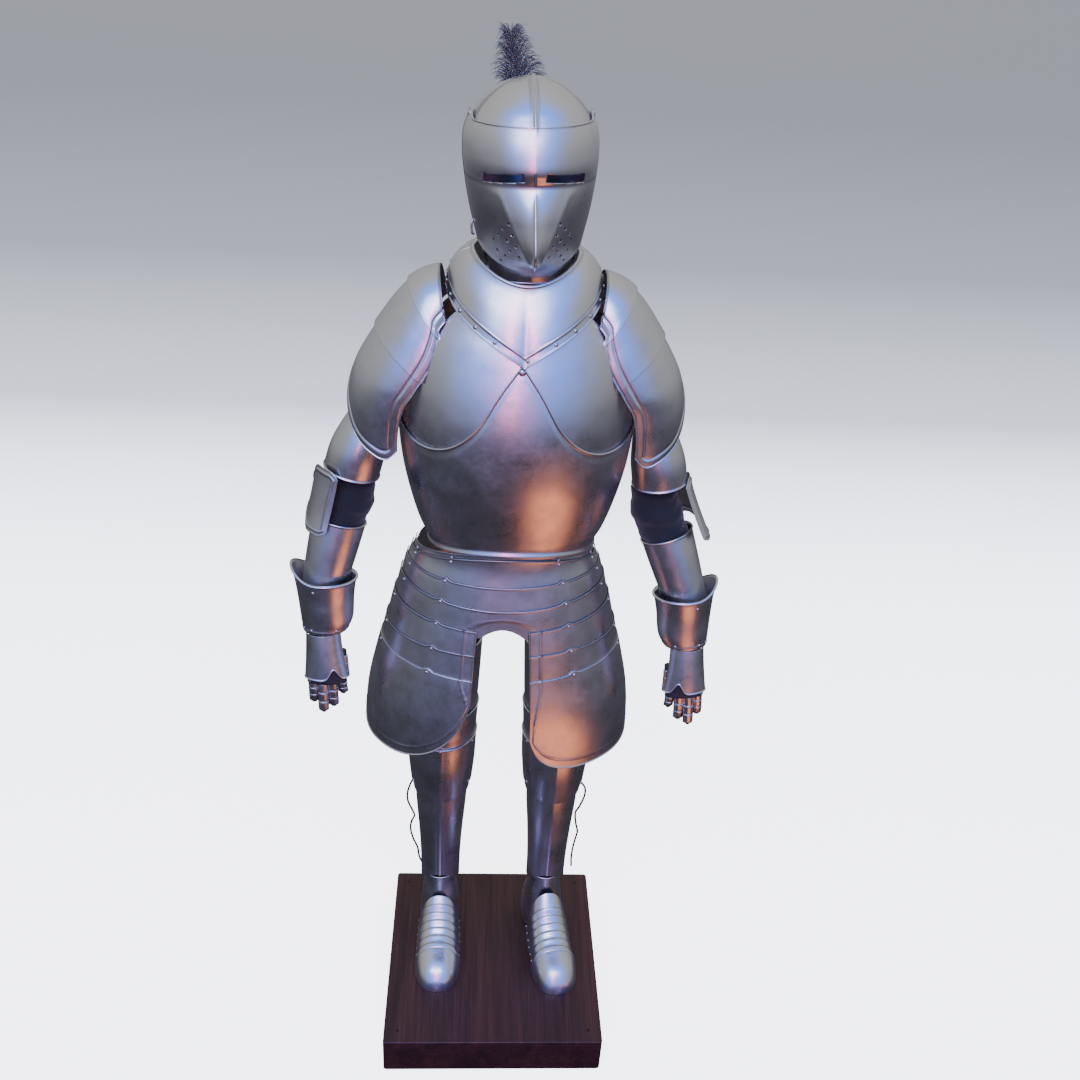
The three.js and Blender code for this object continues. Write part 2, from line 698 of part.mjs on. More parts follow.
// ---- legs ---------------------------------------------------------------------------------------
function leg({ name, sign, legX, toe, step }) {
  const group = new THREE.Group();
  group.position.set(legX, LEG_Y, 0);
  root.add(group);
  const wrap = (rows, from, to, more) =>
    plate(ringForm(rows), { across: [0, 360], cols: 14, rows: 2, from, to, ...more });
  const front = { across: [-108, 108], cols: 12, rows: 1 };
  add("cuisse_" + name, wrap(THIGH, 712, 884, { out: [-LAP, -LAP] }), STEEL, group);
  add("knee_upper_lame_" + name, wrap(KNEE, 636, 722, { ...front, rows: 2, out: [-LAP, 0] }), STEEL, group);
  add("poleyn_" + name, wrap(KNEE, 522, 650, { ...front, rows: 3 }), STEEL, group);
  add("knee_lower_lame_" + name, wrap(KNEE, 498, 534, { ...front, out: [-LAP, -LAP] }), STEEL, group);
  const ankle = (deg) => 232 + 32 * Math.max(Math.cos(rad(deg)), 0) ** 2;
  add("greave_" + name, wrap(GREAVE, ankle, 506, { rows: 4 }), STEEL, group);
  const shoe = new THREE.Group();
  shoe.position.set(0, step, PLINTH.height);
  shoe.rotation.z = rad(toe);
  group.add(shoe);
  add("sabaton_" + name, plate(foot, {
    across: [-90, 90], from: -142, to: -50 - step, cols: 10, rows: 4,
  }), STEEL, shoe);
  const heel = wrap(ANKLE, 90, 250, { rows: 4 });
  heel.translate(0, -step, -PLINTH.height);
  add("heel_cup_" + name, heel, STEEL, shoe);
  add("toe_cap_" + name, plate(foot, {
    across: [-90, 90], from: -203, to: -136, cols: 10, rows: 5, out: [LAP, LAP],
  }), STEEL, shoe);
  const route = new THREE.CatmullRomCurve3(
    LACES[name].map(([out, y, z]) => new THREE.Vector3(sign * out, y, z)),
  );
  const disc = new THREE.Shape().absarc(0, 0, LACE, 0, 2 * Math.PI);
  add("lace_" + name, new THREE.ExtrudeGeometry(disc, {
    extrudePath: route, steps: 30, curveSegments: 4, bevelEnabled: false,
  }), LEATHER, group);
}

plinth();
torsoPlates();
skirtPlates();
gorgetPlates();
helmetPlates();
SIDES.forEach(pauldron);
SIDES.forEach(arm);
SIDES.forEach(leg);

export default root;
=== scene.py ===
import math
import bpy
import numpy as np
from mathutils import Matrix


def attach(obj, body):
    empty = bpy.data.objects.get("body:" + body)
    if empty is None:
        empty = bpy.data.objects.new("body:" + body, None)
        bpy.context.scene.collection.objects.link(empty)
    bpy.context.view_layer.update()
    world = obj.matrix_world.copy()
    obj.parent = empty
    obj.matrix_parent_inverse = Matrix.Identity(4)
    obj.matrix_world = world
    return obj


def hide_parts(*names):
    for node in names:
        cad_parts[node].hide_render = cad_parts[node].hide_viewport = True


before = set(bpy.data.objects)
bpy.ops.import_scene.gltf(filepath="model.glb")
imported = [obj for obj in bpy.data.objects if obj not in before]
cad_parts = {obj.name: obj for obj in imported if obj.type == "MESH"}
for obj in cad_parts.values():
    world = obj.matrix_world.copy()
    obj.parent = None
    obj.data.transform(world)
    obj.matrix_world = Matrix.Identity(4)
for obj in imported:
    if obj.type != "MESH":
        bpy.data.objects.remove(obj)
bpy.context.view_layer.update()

# ---- camera -------------------------------------------------------------------------------------
# A hand-held camera a little above the helmet, looking down along the suit. Angles are in degrees,
# lengths in metres.
CAMERA_AT = (-0.0726, -1.6296, 2.1081)
CAMERA_TURN = {"yaw": 4.19, "pitch": 30.39, "roll": 3.64}
LENS = 36.46


def new_object(name, data):
    """A new object in the scene that shows the data."""
    made = bpy.data.objects.new(name, data)
    bpy.context.scene.collection.objects.link(made)
    return made


def put_at(thing, spot, *axes):
    """Puts a thing at a spot, with its X, Y and Z along the three axes given."""
    turned = np.eye(4)
    turned[:3, :3] = np.stack(axes, axis=1)
    turned[:3, 3] = spot
    thing.matrix_world = Matrix(turned.tolist())


yaw, pitch, roll_turn = (math.radians(CAMERA_TURN[k]) for k in ("yaw", "pitch", "roll"))
ahead = np.array([math.sin(yaw) * math.cos(pitch), math.cos(yaw) * math.cos(pitch), -math.sin(pitch)])
level = np.array([math.cos(yaw), -math.sin(yaw), 0.0])
above = np.cross(level, ahead)
c, s = math.cos(roll_turn), math.sin(roll_turn)

camera = new_object("camera", bpy.data.cameras.new("camera"))
camera.data.lens = LENS
camera.data.sensor_width = 36.0
camera.data.clip_end = 100.0
put_at(camera, CAMERA_AT, c * level + s * above, c * above - s * level, -ahead)
bpy.context.scene.camera = camera

# ---- laces --------------------------------------------------------------------------------------
# Thin black leather laces that close each greave on its outer side. They hang in loose bends from
# the knee to the ankle. Routes are out from the leg's centre, back, and up, in millimetres.
MM = 0.001
SIDES = (
    {
        "name": "right", "sign": -1, "lean": 14.5, "forearm": 13.5, "hand": 0, "reach": 0,
        "wing": 46, "flare": 4, "leg_x": -121, "toe": 0, "step": 0,
        "tasset": {"bottom": 688, "inner": 230, "corner": 2.5},
    },
    {
        "name": "left", "sign": 1, "lean": 9, "forearm": 20, "hand": 5, "reach": 16,
        "wing": 82, "flare": 20, "leg_x": 112, "toe": 8, "step": -9,
        "tasset": {"bottom": 676, "inner": 200, "corner": 4},
    },
)
LEG_Y = 100
LACE_RADIUS = 2.2
LACE_STEPS = 40
LACES = {
    "right": (
        (61, 6, 494), (66, 10, 478), (72, 12, 452), (71, 10, 430), (60, 6, 404), (57, 8, 390),
        (64, 12, 368), (66, 12, 346), (60, 8, 322), (50, 0, 302), (45, -24, 300), (34, -38, 288),
        (22, -46, 272),
    ),
    "left": (
        (61, 6, 494), (72, 10, 476), (74, 12, 450), (64, 8, 420), (57, 8, 404), (60, 10, 372),
        (66, 12, 344), (63, 12, 322), (60, 16, 290), (59, 20, 256), (61, 22, 226),
    ),
}
LEATHER_COLOURS = ((0.006, 0.006, 0.007), (0.028, 0.026, 0.026))


def smooth_route(points, count):
    """A Catmull-Rom route through points: on each stretch, the cubic that leaves and arrives with half
    the step between its neighbours."""
    knots = np.vstack([2 * points[0] - points[1], points, 2 * points[-1] - points[-2]])
    at = np.linspace(0, len(points) - 1, count)
    i = np.minimum(at.astype(int), len(points) - 2)
    t = (at - i)[:, None]
    a, b, c, d = (knots[i + k] for k in range(4))
    return 0.5 * (2 * b + (c - a) * t + (2 * a - 5 * b + 4 * c - d) * t**2 + (3 * b - a - 3 * c + d) * t**3)


def nodes_of(name):
    """A new material, with its node tree and its shader."""
    material = bpy.data.materials.new(name)
    material.use_nodes = True
    tree = material.node_tree
    return material, tree, tree.nodes["Principled BSDF"]


def feed(tree, node, inputs):
    """Fills a node's inputs. A value is either a constant or another node's output socket."""
    for key, value in inputs.items():
        if isinstance(value, bpy.types.NodeSocket):
            tree.links.new(value, node.inputs[key])
        else:
            node.inputs[key].default_value = value


def wire(tree, kind, inputs, **settings):
    """Adds a node with its settings and inputs."""
    node = tree.nodes.new(kind)
    for key, value in settings.items():
        setattr(node, key, value)
    feed(tree, node, inputs)
    return node


def place_of(tree, kind="Object"):
    """The place of each point, in the piece's own frame or on its UV map."""
    return wire(tree, "ShaderNodeTexCoord", {}).outputs[kind]


def noise(tree, place, scale, detail, **more):
    return wire(
        tree, "ShaderNodeTexNoise", {"Vector": place, "Scale": scale, "Detail": detail, **more},
    ).outputs["Fac"]


def bump(tree, height, strength, distance, **more):
    """The normal that a height gives, over a distance in metres."""
    return wire(
        tree, "ShaderNodeBump", {"Height": height, "Strength": strength, "Distance": distance, **more},
    ).outputs["Normal"]


def ramp(tree, factor, *stops):
    """A colour ramp through (position, colour) stops; a plain number is a grey."""
    node = wire(tree, "ShaderNodeValToRGB", {"Fac": factor})
    elements = node.color_ramp.elements
    while len(elements) < len(stops):
        elements.new(0.5)
    for element, (place, colour) in zip(elements, stops):
        element.position = place
        element.color = (*colour, 1) if isinstance(colour, tuple) else (colour, colour, colour, 1)
    return node.outputs["Color"]


# Black leather: a fine pebbled grain, dull on top and slightly greasy where it is handled.
leather, tree, shader = nodes_of("black_leather")
place = place_of(tree)
patches = noise(tree, place, 60.0, 5.0)
pebbles = wire(tree, "ShaderNodeTexVoronoi", {"Vector": place, "Scale": 900.0}).outputs["Distance"]
feed(tree, shader, {
    "Base Color": ramp(tree, patches, (0.3, LEATHER_COLOURS[0]), (0.8, LEATHER_COLOURS[1])),
    "Roughness": ramp(tree, patches, (0.3, 0.45), (0.75, 0.68)),
    "Normal": bump(tree, pebbles, 0.35, 0.0006),
})

for side in SIDES:
    route = np.array(LACES[side["name"]], float) * (side["sign"], 1, 1) + (side["leg_x"], LEG_Y, 0)
    route = smooth_route(route * MM, LACE_STEPS)
    line = bpy.data.curves.new("lace_line_" + side["name"], "CURVE")
    line.dimensions = "3D"
    line.bevel_depth = LACE_RADIUS * MM
    line.bevel_resolution = 3
    line.use_fill_caps = True
    spline = line.splines.new("POLY")
    spline.points.add(len(route) - 1)
    spline.points.foreach_set("co", np.column_stack([route, np.ones(len(route))]).ravel())
    lace = new_object("leather_lace_" + side["name"], line)
    line.materials.append(leather)
    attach(lace, "suit")
    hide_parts("lace_" + side["name"])

# ---- plinth -------------------------------------------------------------------------------------
# One block of hardwood, stained a dark red-brown and waxed. Its edges are eased and its corners
# slightly rounded, and four screws are sunk in its top.
PLINTH = {"side": 450, "height": 88, "corner": 6, "edge": 2.2, "screw_inset": 28, "screw_radius": 4.5}
EASING_STEPS = 6
WOOD_COLOURS = ((0.012, 0.0035, 0.0035), (0.038, 0.0115, 0.011), (0.070, 0.022, 0.018))
SCREW_COLOUR = (0.05, 0.03, 0.028)
DOME_TILTS = (-25, 5, 40, 68)


def mesh_of(name, points, faces):
    """A mesh from points in millimetres and arrays of faces."""
    mesh = bpy.data.meshes.new(name)
    mesh.from_pydata((np.asarray(points) * MM).tolist(), [], [f for part in faces for f in part.tolist()])
    return mesh


def moved(points, place):
    """Points moved by a 4 by 4 matrix."""
    return np.asarray(points) @ place[:3, :3].T + place[:3, 3]


def new_mesh(name, points, faces, material, rides="suit", stands_for=(), slot="steel", uv=None, masks=None,
             place=None):
    """A finished piece from points in millimetres and faces of 3 or 4 corners. uv is one pair for each
    point and masks are named values for each point."""
    mesh = mesh_of(name, points if place is None else moved(points, place), faces)
    mesh.shade_smooth()
    if uv is not None:
        corners = np.empty(len(mesh.loops), int)
        mesh.loops.foreach_get("vertex_index", corners)
        mesh.uv_layers.new(name="UVMap").data.foreach_set("uv", (np.asarray(uv) * MM)[corners].ravel())
    for mask, values in (masks or {}).items():
        attribute = mesh.attributes.new(mask, "FLOAT", "POINT")
        attribute.data.foreach_set("value", np.asarray(values, "f").ravel())
    mesh.materials.append(material)
    piece = new_object(name, mesh)
    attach(piece, rides)
    if stands_for:
        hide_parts(*stands_for)
    return piece


def unit(v):
    return v / np.maximum(np.linalg.norm(v, axis=-1, keepdims=True), 1e-9)


def quads_of(rows, wide, ring=True):
    """The faces between rows of points. A ring's last point joins its first."""
    i, j = np.arange(wide if ring else wide - 1), np.arange(rows - 1)[:, None] * wide
    after = (i + 1) % wide
    return np.stack([j + i, j + after, j + wide + after, j + wide + i], -1).reshape(-1, 4)


def joined(parts):
    """Several (points, faces, faces ...) as one set, with each one's face indices moved on."""
    points, faces, start = [], [], 0
    for first, *rest in parts:
        points.append(first)
        faces += [np.asarray(f) + start for f in rest]
        start += len(first)
    return np.vstack(points), faces


def rounded_block(half, height, corner, edge):
    """A block as a stack of rounded squares: each ring is a square of side 2 * half with corner
    radius corner, drawn in by a quarter circle of radius edge at the top and the bottom."""
    turn = np.radians(np.linspace(0, 90, EASING_STEPS + 1))
    square = np.concatenate([
        np.column_stack([
            sx * (half - corner) + corner * np.cos(turn + start),
            sy * (half - corner) + corner * np.sin(turn + start),
        ])
        for start, sx, sy in ((0, 1, 1), (math.pi / 2, -1, 1), (math.pi, -1, -1), (1.5 * math.pi, 1, -1))
    ])
    inset, lift = edge * (1 - np.sin(turn)), edge * (1 - np.cos(turn))
    scale = 1 - np.concatenate([inset, inset[::-1]]) / half
    level = np.concatenate([lift, height - lift[::-1]])
    rings = [np.column_stack([square * s, np.full(len(square), z)]) for s, z in zip(scale, level)]
    last = (len(level) - 1) * len(square)
    ends = [np.arange(len(square))[None, ::-1], last + np.arange(len(square))[None]]
    return np.concatenate(rings), [quads_of(len(level), len(square)), *ends]


def dome(centre, normal, radius, height, around=10):
    """A rivet head: rings of a flattened ball, from a foot sunk a little into the plate up to the
    crown, turned so that its axis is the normal."""
    tilt = np.radians(DOME_TILTS)[:, None]
    turn = np.linspace(0, 2 * np.pi, around, endpoint=False)
    out = np.cos(tilt) * radius
    flat = np.stack([out * np.cos(turn), out * np.sin(turn), np.sin(tilt) * height + 0 * turn], -1)
    flat = np.vstack([flat.reshape(-1, 3), [[0, 0, height]]])
    side = unit(np.cross(normal, (0.31, 0.27, 0.91) if abs(normal[2]) < 0.8 else (1.0, 0.2, 0.0)))
    points = centre + flat @ np.array([side, np.cross(normal, side), normal])
    i, top = np.arange(around), (len(DOME_TILTS) - 1) * around
    crown = np.column_stack([top + i, top + (i + 1) % around, np.full(around, len(points) - 1)])
    return points, quads_of(len(DOME_TILTS), around), crown, i[None, ::-1]


wood, tree, shader = nodes_of("stained_hardwood")
place = place_of(tree)
fibres, figure = (
    wire(tree, "ShaderNodeMapping", {"Vector": place, "Scale": scale}).outputs[0]
    for scale in ((220.0, 6.0, 220.0), (14.0, 1.6, 14.0))
)
fine = noise(tree, fibres, 1.0, 6.0)
broad = noise(tree, figure, 1.6, 4.0, Distortion=0.8)
blend = wire(tree, "ShaderNodeMix", {0: 0.55, 2: fine, 3: broad}, data_type="FLOAT").outputs[0]
feed(tree, shader, {
    "Base Color": ramp(tree, blend, *zip((0.32, 0.5, 0.68), WOOD_COLOURS)),
    "Roughness": ramp(tree, blend, (0.35, 0.52), (0.65, 0.36)),
    "Normal": bump(tree, fine, 0.25, 0.0004),
    "Specular IOR Level": 0.35,
})
new_mesh(
    "wooden_plinth", *rounded_block(PLINTH["side"] / 2, PLINTH["height"], PLINTH["corner"], PLINTH["edge"]),
    wood, stands_for=["plinth"], slot="wood",
)

screws, tree, shader = nodes_of("sunk_screws")
feed(tree, shader, {"Base Color": (*SCREW_COLOUR, 1), "Metallic": 1.0, "Roughness": 0.5})
reach = PLINTH["side"] / 2 - PLINTH["screw_inset"]
new_mesh("plinth_screws", *joined([
    dome(np.array([x, y, PLINTH["height"] - 0.6]), np.array([0.0, 0, 1]), PLINTH["screw_radius"], 0.9, 16)
    for x in (-reach, reach) for y in (-reach, reach)
]), screws, slot="dark_steel")

# ---- cuirass ------------------------------------------------------------------------------------
# A breastplate, over it the plackart, which rises to a point held by one screw, and a backplate. Each is
# raised from 1.5 mm sheet on level oval sections, with a rolled or turned edge. Tables are in
# millimetres.
WALL = 1.5
LAP = 2.6
BODY_Y = 85
EDGE_STEPS = np.array([0.4, 0.9, 1.5, 2.2, 3.0, 4.0, 5.2, 7.0, 9.0, 11.0, 13.0, 15.0, 17.0, 19.0, 22.0])
# Colour of stains on the steel, also used for the painted shade along steps, laps and borders.
STAIN_AND_SHADE_COLOUR = (0.10, 0.085, 0.075)


def table(columns, rows):
    """Rows of sizes as named columns."""
    return dict(zip(columns, np.array(rows, float).T))


SECTION = ("at", "half", "front", "back")
TORSO = table(SECTION, [
    (1080, 152, 113, 100), (1110, 147, 110, 96), (1150, 165, 118, 99), (1200, 180, 130, 104),
    (1260, 193, 142, 111), (1320, 200, 147, 117), (1380, 201, 146, 121), (1440, 196, 136, 121),
    (1500, 178, 118, 113), (1550, 140, 98, 99), (1600, 96, 80, 84),
])
BREAST_TOP = table(("at", "z"), [
    (0, 1530), (25, 1540), (37, 1556), (46, 1556), (54, 1530), (60, 1482), (66, 1432), (74, 1398),
    (97, 1386),
])
BACK_TOP = table(("at", "z"), [(82, 1386), (104, 1396), (116, 1450), (126, 1530), (142, 1560), (180, 1556)])
PLACKART_TOP = table(("at", "z"), [
    (0, 1486), (9, 1442), (19, 1383), (30, 1347), (42, 1331), (56, 1331), (76, 1347), (97, 1364),
])
PLACKART_SCREW = {"at": (0, 1474), "radius": 6.5, "height": 4}
WAIST = {"z": 1110, "rise": 24}
BREAST_UNDERLAP = 20
BACK_BOTTOM = 1124


def along(rows, column, at):
    """One column of a table as a smooth function of its first: on each stretch, the cubic that meets
    both values with the slopes of their neighbours."""
    x, y = rows["at"], rows[column]
    at = np.clip(at, x[0], x[-1])
    i = np.clip(np.searchsorted(x, at, side="right") - 1, 0, len(x) - 2)
    k = np.arange(len(x))
    before, after = np.maximum(k - 1, 0), np.minimum(k + 1, len(x) - 1)
    slope = (y[after] - y[before]) / (x[after] - x[before])
    span = x[i + 1] - x[i]
    t = (at - x[i]) / span
    return (
        (2 * t**3 - 3 * t**2 + 1) * y[i] + (t**3 - 2 * t**2 + t) * span * slope[i]
        + (3 * t**2 - 2 * t**3) * y[i + 1] + (t**3 - t**2) * span * slope[i + 1]
    )


def cosine(deg):
    return np.cos(np.radians(deg))


def sine(deg):
    return np.sin(np.radians(deg))


def smooth(t, low, high):
    """0 below low, 1 above high, and between them 3t^2 - 2t^3."""
    t = np.clip((t - low) / (high - low), 0, 1)
    return t * t * (3 - 2 * t)


def bell(d, at, width=1.6):
    """1 at one place, falling as exp(-t^2) on both sides of it, with t in widths."""
    return np.exp(-(((d - at) / width) ** 2))


def roll(d, radius):
    """A rolled edge: a half round of that radius along the edge."""
    return radius * np.sqrt(np.clip(1 - ((d - radius) / radius) ** 2, 0, 1))


def border(d, at, width, height, drop, slope):
    """A raised line at a distance from the edge, with the border outside it a little lower."""
    return height * bell(d, at, width) - drop * (1 - smooth(d, at - slope, at))


def worked(rolls=(), ridges=(), lines=()):
    """A relief of rolled edges, as (edge, radius), raised lines, as (edge, place, width, height), and lines
    of painted shade, as (edge, place, darkness)."""
    def relief(edge):
        flat = 0 * edge["low"]
        lift = flat + sum(roll(edge[k], radius) for k, radius in rolls)
        lift = lift + sum(height * bell(edge[k], at, width) for k, at, width, height in ridges)
        return lift, flat + sum(dark * bell(edge[k], at) for k, at, dark in lines)
    return relief


def oval(rows, x=0.0, y=0.0, sign=1):
    """Level oval sections one above the other: across by half times the angle's sine, forward by front
    or back times its cosine."""
    def form(deg, z):
        depth = np.where(cosine(deg) > 0, along(rows, "front", z), along(rows, "back", z))
        shift = sign * along(rows, "x", z) if "x" in rows else 0
        across = x + shift + along(rows, "half", z) * sine(deg)
        return np.stack(np.broadcast_arrays(across, y - depth * cosine(deg), z), -1)
    return form


def normals_of(form, u, v, step):
    """The form's outward normals, from a short step across and one up."""
    return unit(np.cross(form(u + 0.2, v) - form(u - 0.2, v), form(u, v + step) - form(u, v - step)))


def spacing(count, length, worked_edges):
    """Places from 0 to 1: even ones, and closer ones near both ends where the edges are worked."""
    places = np.linspace(0, 1, count + 1)
    if worked_edges:
        near = EDGE_STEPS[EDGE_STEPS < length * 0.45] / length
        places = np.unique(np.concatenate([places, near, 1 - near]))
        places = places[np.concatenate([[True], np.diff(places) > 0.12 / length])]
    places[-1] = 1
    return places


def plate(form, across, lower, upper, cols=56, rows=24, out=(0, 0), wall=WALL, relief=None, keel=0.0,
          place=None, fine=True):
    """A sheet metal plate of one wall on a form. The angle runs over across, and the other way runs
    from lower to upper, which are numbers or functions of the angle. The outer skin stands off the
    form along its normal by out, which changes evenly from edge to edge, plus the relief, a function of
    the distances from the four edges. keel draws the columns towards the middle line. Returns points,
    faces, uv and masks."""
    first, last = across
    ring = last - first >= 360
    low, high = (
        e if callable(e) else (lambda deg, e=e: np.full_like(deg, float(e))) for e in (lower, upper)
    )

    middle = np.linspace(first, last, 41)
    girth = np.linalg.norm(np.diff(form(middle, (low(middle) + high(middle)) / 2), axis=0), axis=1).sum()
    tall = np.median(np.linalg.norm(form(middle, high(middle)) - form(middle, low(middle)), axis=1))
    t = spacing(rows, tall, fine)
    u = first + (last - first) * spacing(cols, girth, fine and not ring)
    if keel:
        u = u - np.degrees(keel * np.sin(2 * np.radians(u)) / 2)
        u = u * (last / u[-1]) if first == -last else u
    if ring:
        u = u[:-1]
    u = np.broadcast_to(u, (len(t), len(u)))
    height = high(u) - low(u)
    v = low(u) + height * t[:, None]
    base = form(u, v)
    normal = normals_of(form, u, v, 0.004 * height)

    up = np.concatenate([0 * u[:1], np.cumsum(np.linalg.norm(np.diff(base, axis=0), axis=2), 0)])
    turn = np.concatenate([0 * u[:, :1], np.cumsum(np.linalg.norm(np.diff(base, axis=1), axis=2), 1)], 1)
    far = np.full_like(up, 1e3)
    edges = {"low": up, "high": up[-1] - up, "deg": u, "v": v, "x": base[..., 0]}
    edges["first"], edges["last"] = (far, far) if ring else (turn, turn[:, -1:] - turn)
    edges["nearest"] = np.minimum.reduce([edges[k] for k in ("low", "high", "first", "last")])
    # The relief gives the lift and the painted shade: dark lines where the plate steps, laps or is
    # bordered.
    extra, groove = relief(edges) if relief else (0, 0 * up)
    lift = out[0] + (out[1] - out[0]) * t[:, None] + extra + 0 * up
    skin = base + normal * lift[..., None]

    tall, wide = up.shape
    total = tall * wide
    number = np.arange(total).reshape(tall, wide)
    quads = quads_of(tall, wide, ring)
    faces = [quads, total + quads[:, [0, 3, 2, 1]]]
    loops = [number[0], number[-1][::-1]]
    if not ring:
        loops = [np.concatenate([number[0], number[1:, -1], number[-1, -2::-1], number[-2:0:-1, 0]])]
    points = [skin.reshape(-1, 3), (skin - normal * wall).reshape(-1, 3)]
    flow = [np.stack([turn, up], -1).reshape(-1, 2)] * 2
    # The painted shade and the rim of rubbed edges are kept as masks, on the edge strip too.
    painted_shades, rims = [groove.ravel()] * 2, [np.exp(-edges["nearest"].ravel() / 2.5)] * 2
    start = 2 * total
    for loop in loops:
        row, col = np.divmod(loop, wide)
        inside = np.clip(row, 1, tall - 2) * wide + (col if ring else np.clip(col, 1, wide - 2))
        away = unit(points[0][loop] - points[0][inside])
        points.append((points[0][loop] + points[1][loop]) / 2 + away * wall * 0.42)
        flow.append(flow[0][loop])
        painted_shades.append(painted_shades[0][loop])
        rims.append(np.ones(len(loop)))
        mid = start + np.arange(len(loop))
        after, mid_after = np.roll(loop, -1), np.roll(mid, -1)
        faces.append(np.column_stack([after, loop, mid, mid_after]))
        faces.append(np.column_stack([mid_after, mid, total + loop, total + after]))
        start += len(loop)
    points = np.vstack(points)
    if place is not None:
        points = moved(points, place)
    return points, faces, np.vstack(flow), {"groove": np.concatenate(painted_shades), "rim": np.concatenate(rims)}


def on_form(form, spots, out, place=None):
    """Points on a form at (angle, place) pairs, moved out along the normal, with the normals."""
    u, v = np.array(spots, float).T
    normal = normals_of(form, u, v, 0.01)
    spot = form(u, v) + normal * out
    return (spot, normal) if place is None else (moved(spot, place), normal @ place[:3, :3].T)


def plate_piece(name, node, *shape, material=None, rides="suit", slot="steel", **more):
    """A plate as a finished piece, which stands for one node of the solids."""
    points, faces, flow, masks = plate(*shape, **more)
    return new_mesh(name, points, faces, material or steel, rides, [node], slot, flow, masks)


def rivet_piece(name, form, spots, out=0.0, radius=3.2, height=1.8, place=None, around=10):
    """A piece of rivet heads on a form at (angle, place) pairs."""
    heads = [dome(p, n, radius, height, around) for p, n in zip(*on_form(form, spots, out, place))]
    return new_mesh(name, *joined(heads), rivet_steel)


def maths(tree, operation, *values, clamp=False):
    """One arithmetic node on constants and sockets."""
    inputs = dict(enumerate(values))
    return wire(tree, "ShaderNodeMath", inputs, operation=operation, use_clamp=clamp).outputs[0]


def blended(tree, factor, under, over):
    """Two colours mixed by a factor."""
    return wire(tree, "ShaderNodeMix", {0: factor, 6: under, 7: over}, data_type="RGBA").outputs[2]


# Polished steel: a soft satin from hand polishing, uneven over a few centimetres, with fine scratches
# every way, duller and darker where it is stained and along lines of painted shade where plates step,
# lap and are bordered, and brighter along rubbed edges.
steel_finish = tree = bpy.data.node_groups.new("hand_polished_steel", "ShaderNodeTree")
for name, way, kind in (
    ("Colour", "INPUT", "Color"), ("Sheen", "INPUT", "Float"), ("Dents", "INPUT", "Float"),
    ("Stain", "INPUT", "Float"), ("Colour", "OUTPUT", "Color"), ("Roughness", "OUTPUT", "Float"),
    ("Normal", "OUTPUT", "Vector"),
):
    tree.interface.new_socket(name, in_out=way, socket_type="NodeSocket" + kind)
given = tree.nodes.new("NodeGroupInput").outputs
place = place_of(tree)
clouds = noise(tree, place, 22.0, 7.0, Roughness=0.62)
specks = noise(tree, place, 130.0, 4.0, Roughness=0.6)
# Masks carried on the mesh: painted shade along steps, laps and borders, and the rim of rubbed edges.
groove, rim = (
    wire(tree, "ShaderNodeAttribute", {}, attribute_name=mask).outputs["Fac"] for mask in ("groove", "rim")
)
scratches = [
    noise(tree, wire(
        tree, "ShaderNodeMapping", {"Vector": place, "Rotation": turn, "Scale": scale}
    ).outputs[0], 1.0, 2.0)
    for turn, scale in (((0.3, 0.5, 0.2), (1500.0, 60.0, 90.0)), ((1.1, 0.2, 0.9), (70.0, 1300.0, 90.0)))
]
rub = maths(tree, "ADD", *scratches)
mottle = maths(tree, "SUBTRACT", maths(tree, "MULTIPLY_ADD", specks, 0.35, clouds), 0.68)
# Darkening: real stains from the mottle, plus painted shade along the lines; rubbed edges take some off.
stain_and_painted_shade = maths(tree, "MULTIPLY_ADD", groove, 0.75, maths(tree, "MULTIPLY", mottle, given["Stain"]))
stain_and_painted_shade = maths(tree, "MULTIPLY_ADD", rim, -0.25, stain_and_painted_shade, clamp=True)
dull = maths(tree, "MULTIPLY_ADD", mottle, 0.28, given["Sheen"])
dull = maths(tree, "MULTIPLY_ADD", rub, 0.05, dull)
hammered = bump(tree, noise(tree, place, 17.0, 1.5), given["Dents"], 0.004)
feed(tree, tree.nodes.new("NodeGroupOutput"), {
    "Colour": blended(tree, stain_and_painted_shade, given["Colour"], (*STAIN_AND_SHADE_COLOUR, 1)),
    "Roughness": maths(tree, "MULTIPLY_ADD", stain_and_painted_shade, 0.22, dull, clamp=True),
    "Normal": bump(tree, rub, 0.10, 0.0003, Normal=hammered),
})


def steel_of(name, colour, sheen, dents, stain):
    """A material of the polished steel: its colour, its base roughness, how far hammering shows and how
    much it is stained."""
    material, tree, shader = nodes_of(name)
    finish = wire(tree, "ShaderNodeGroup", {}, node_tree=steel_finish)
    feed(tree, finish, {"Colour": (*colour, 1), "Sheen": sheen, "Dents": dents, "Stain": stain})
    feed(tree, shader, {
        "Base Color": finish.outputs["Colour"], "Roughness": finish.outputs["Roughness"],
        "Normal": finish.outputs["Normal"], "Metallic": 1.0,
    })
    return material


steel = steel_of("polished_plate", (0.62, 0.62, 0.63), 0.27, 0.2, 0.55)
rivet_steel = steel_of("rivet_heads", (0.46, 0.45, 0.45), 0.30, 0.0, 0.8)


def plackart_relief(edge):
    """A turned edge along the top and a flange that stands off at the waist, with painted shade under the
    turned edge and at the flange.
    """
    d = edge["high"]
    lift = roll(d, 2.0) - 0.8 * smooth(d, 3.0, 7.0) * (1 - smooth(d, 7, 22))
    lift = lift + 5.0 * (1 - smooth(edge["low"], 0, 13)) ** 2
    return lift, 0.8 * bell(d, 4.6) + 0.6 * bell(edge["low"], 11, 3)


def plackart_edge(deg):
    return along(PLACKART_TOP, "z", np.abs(deg))


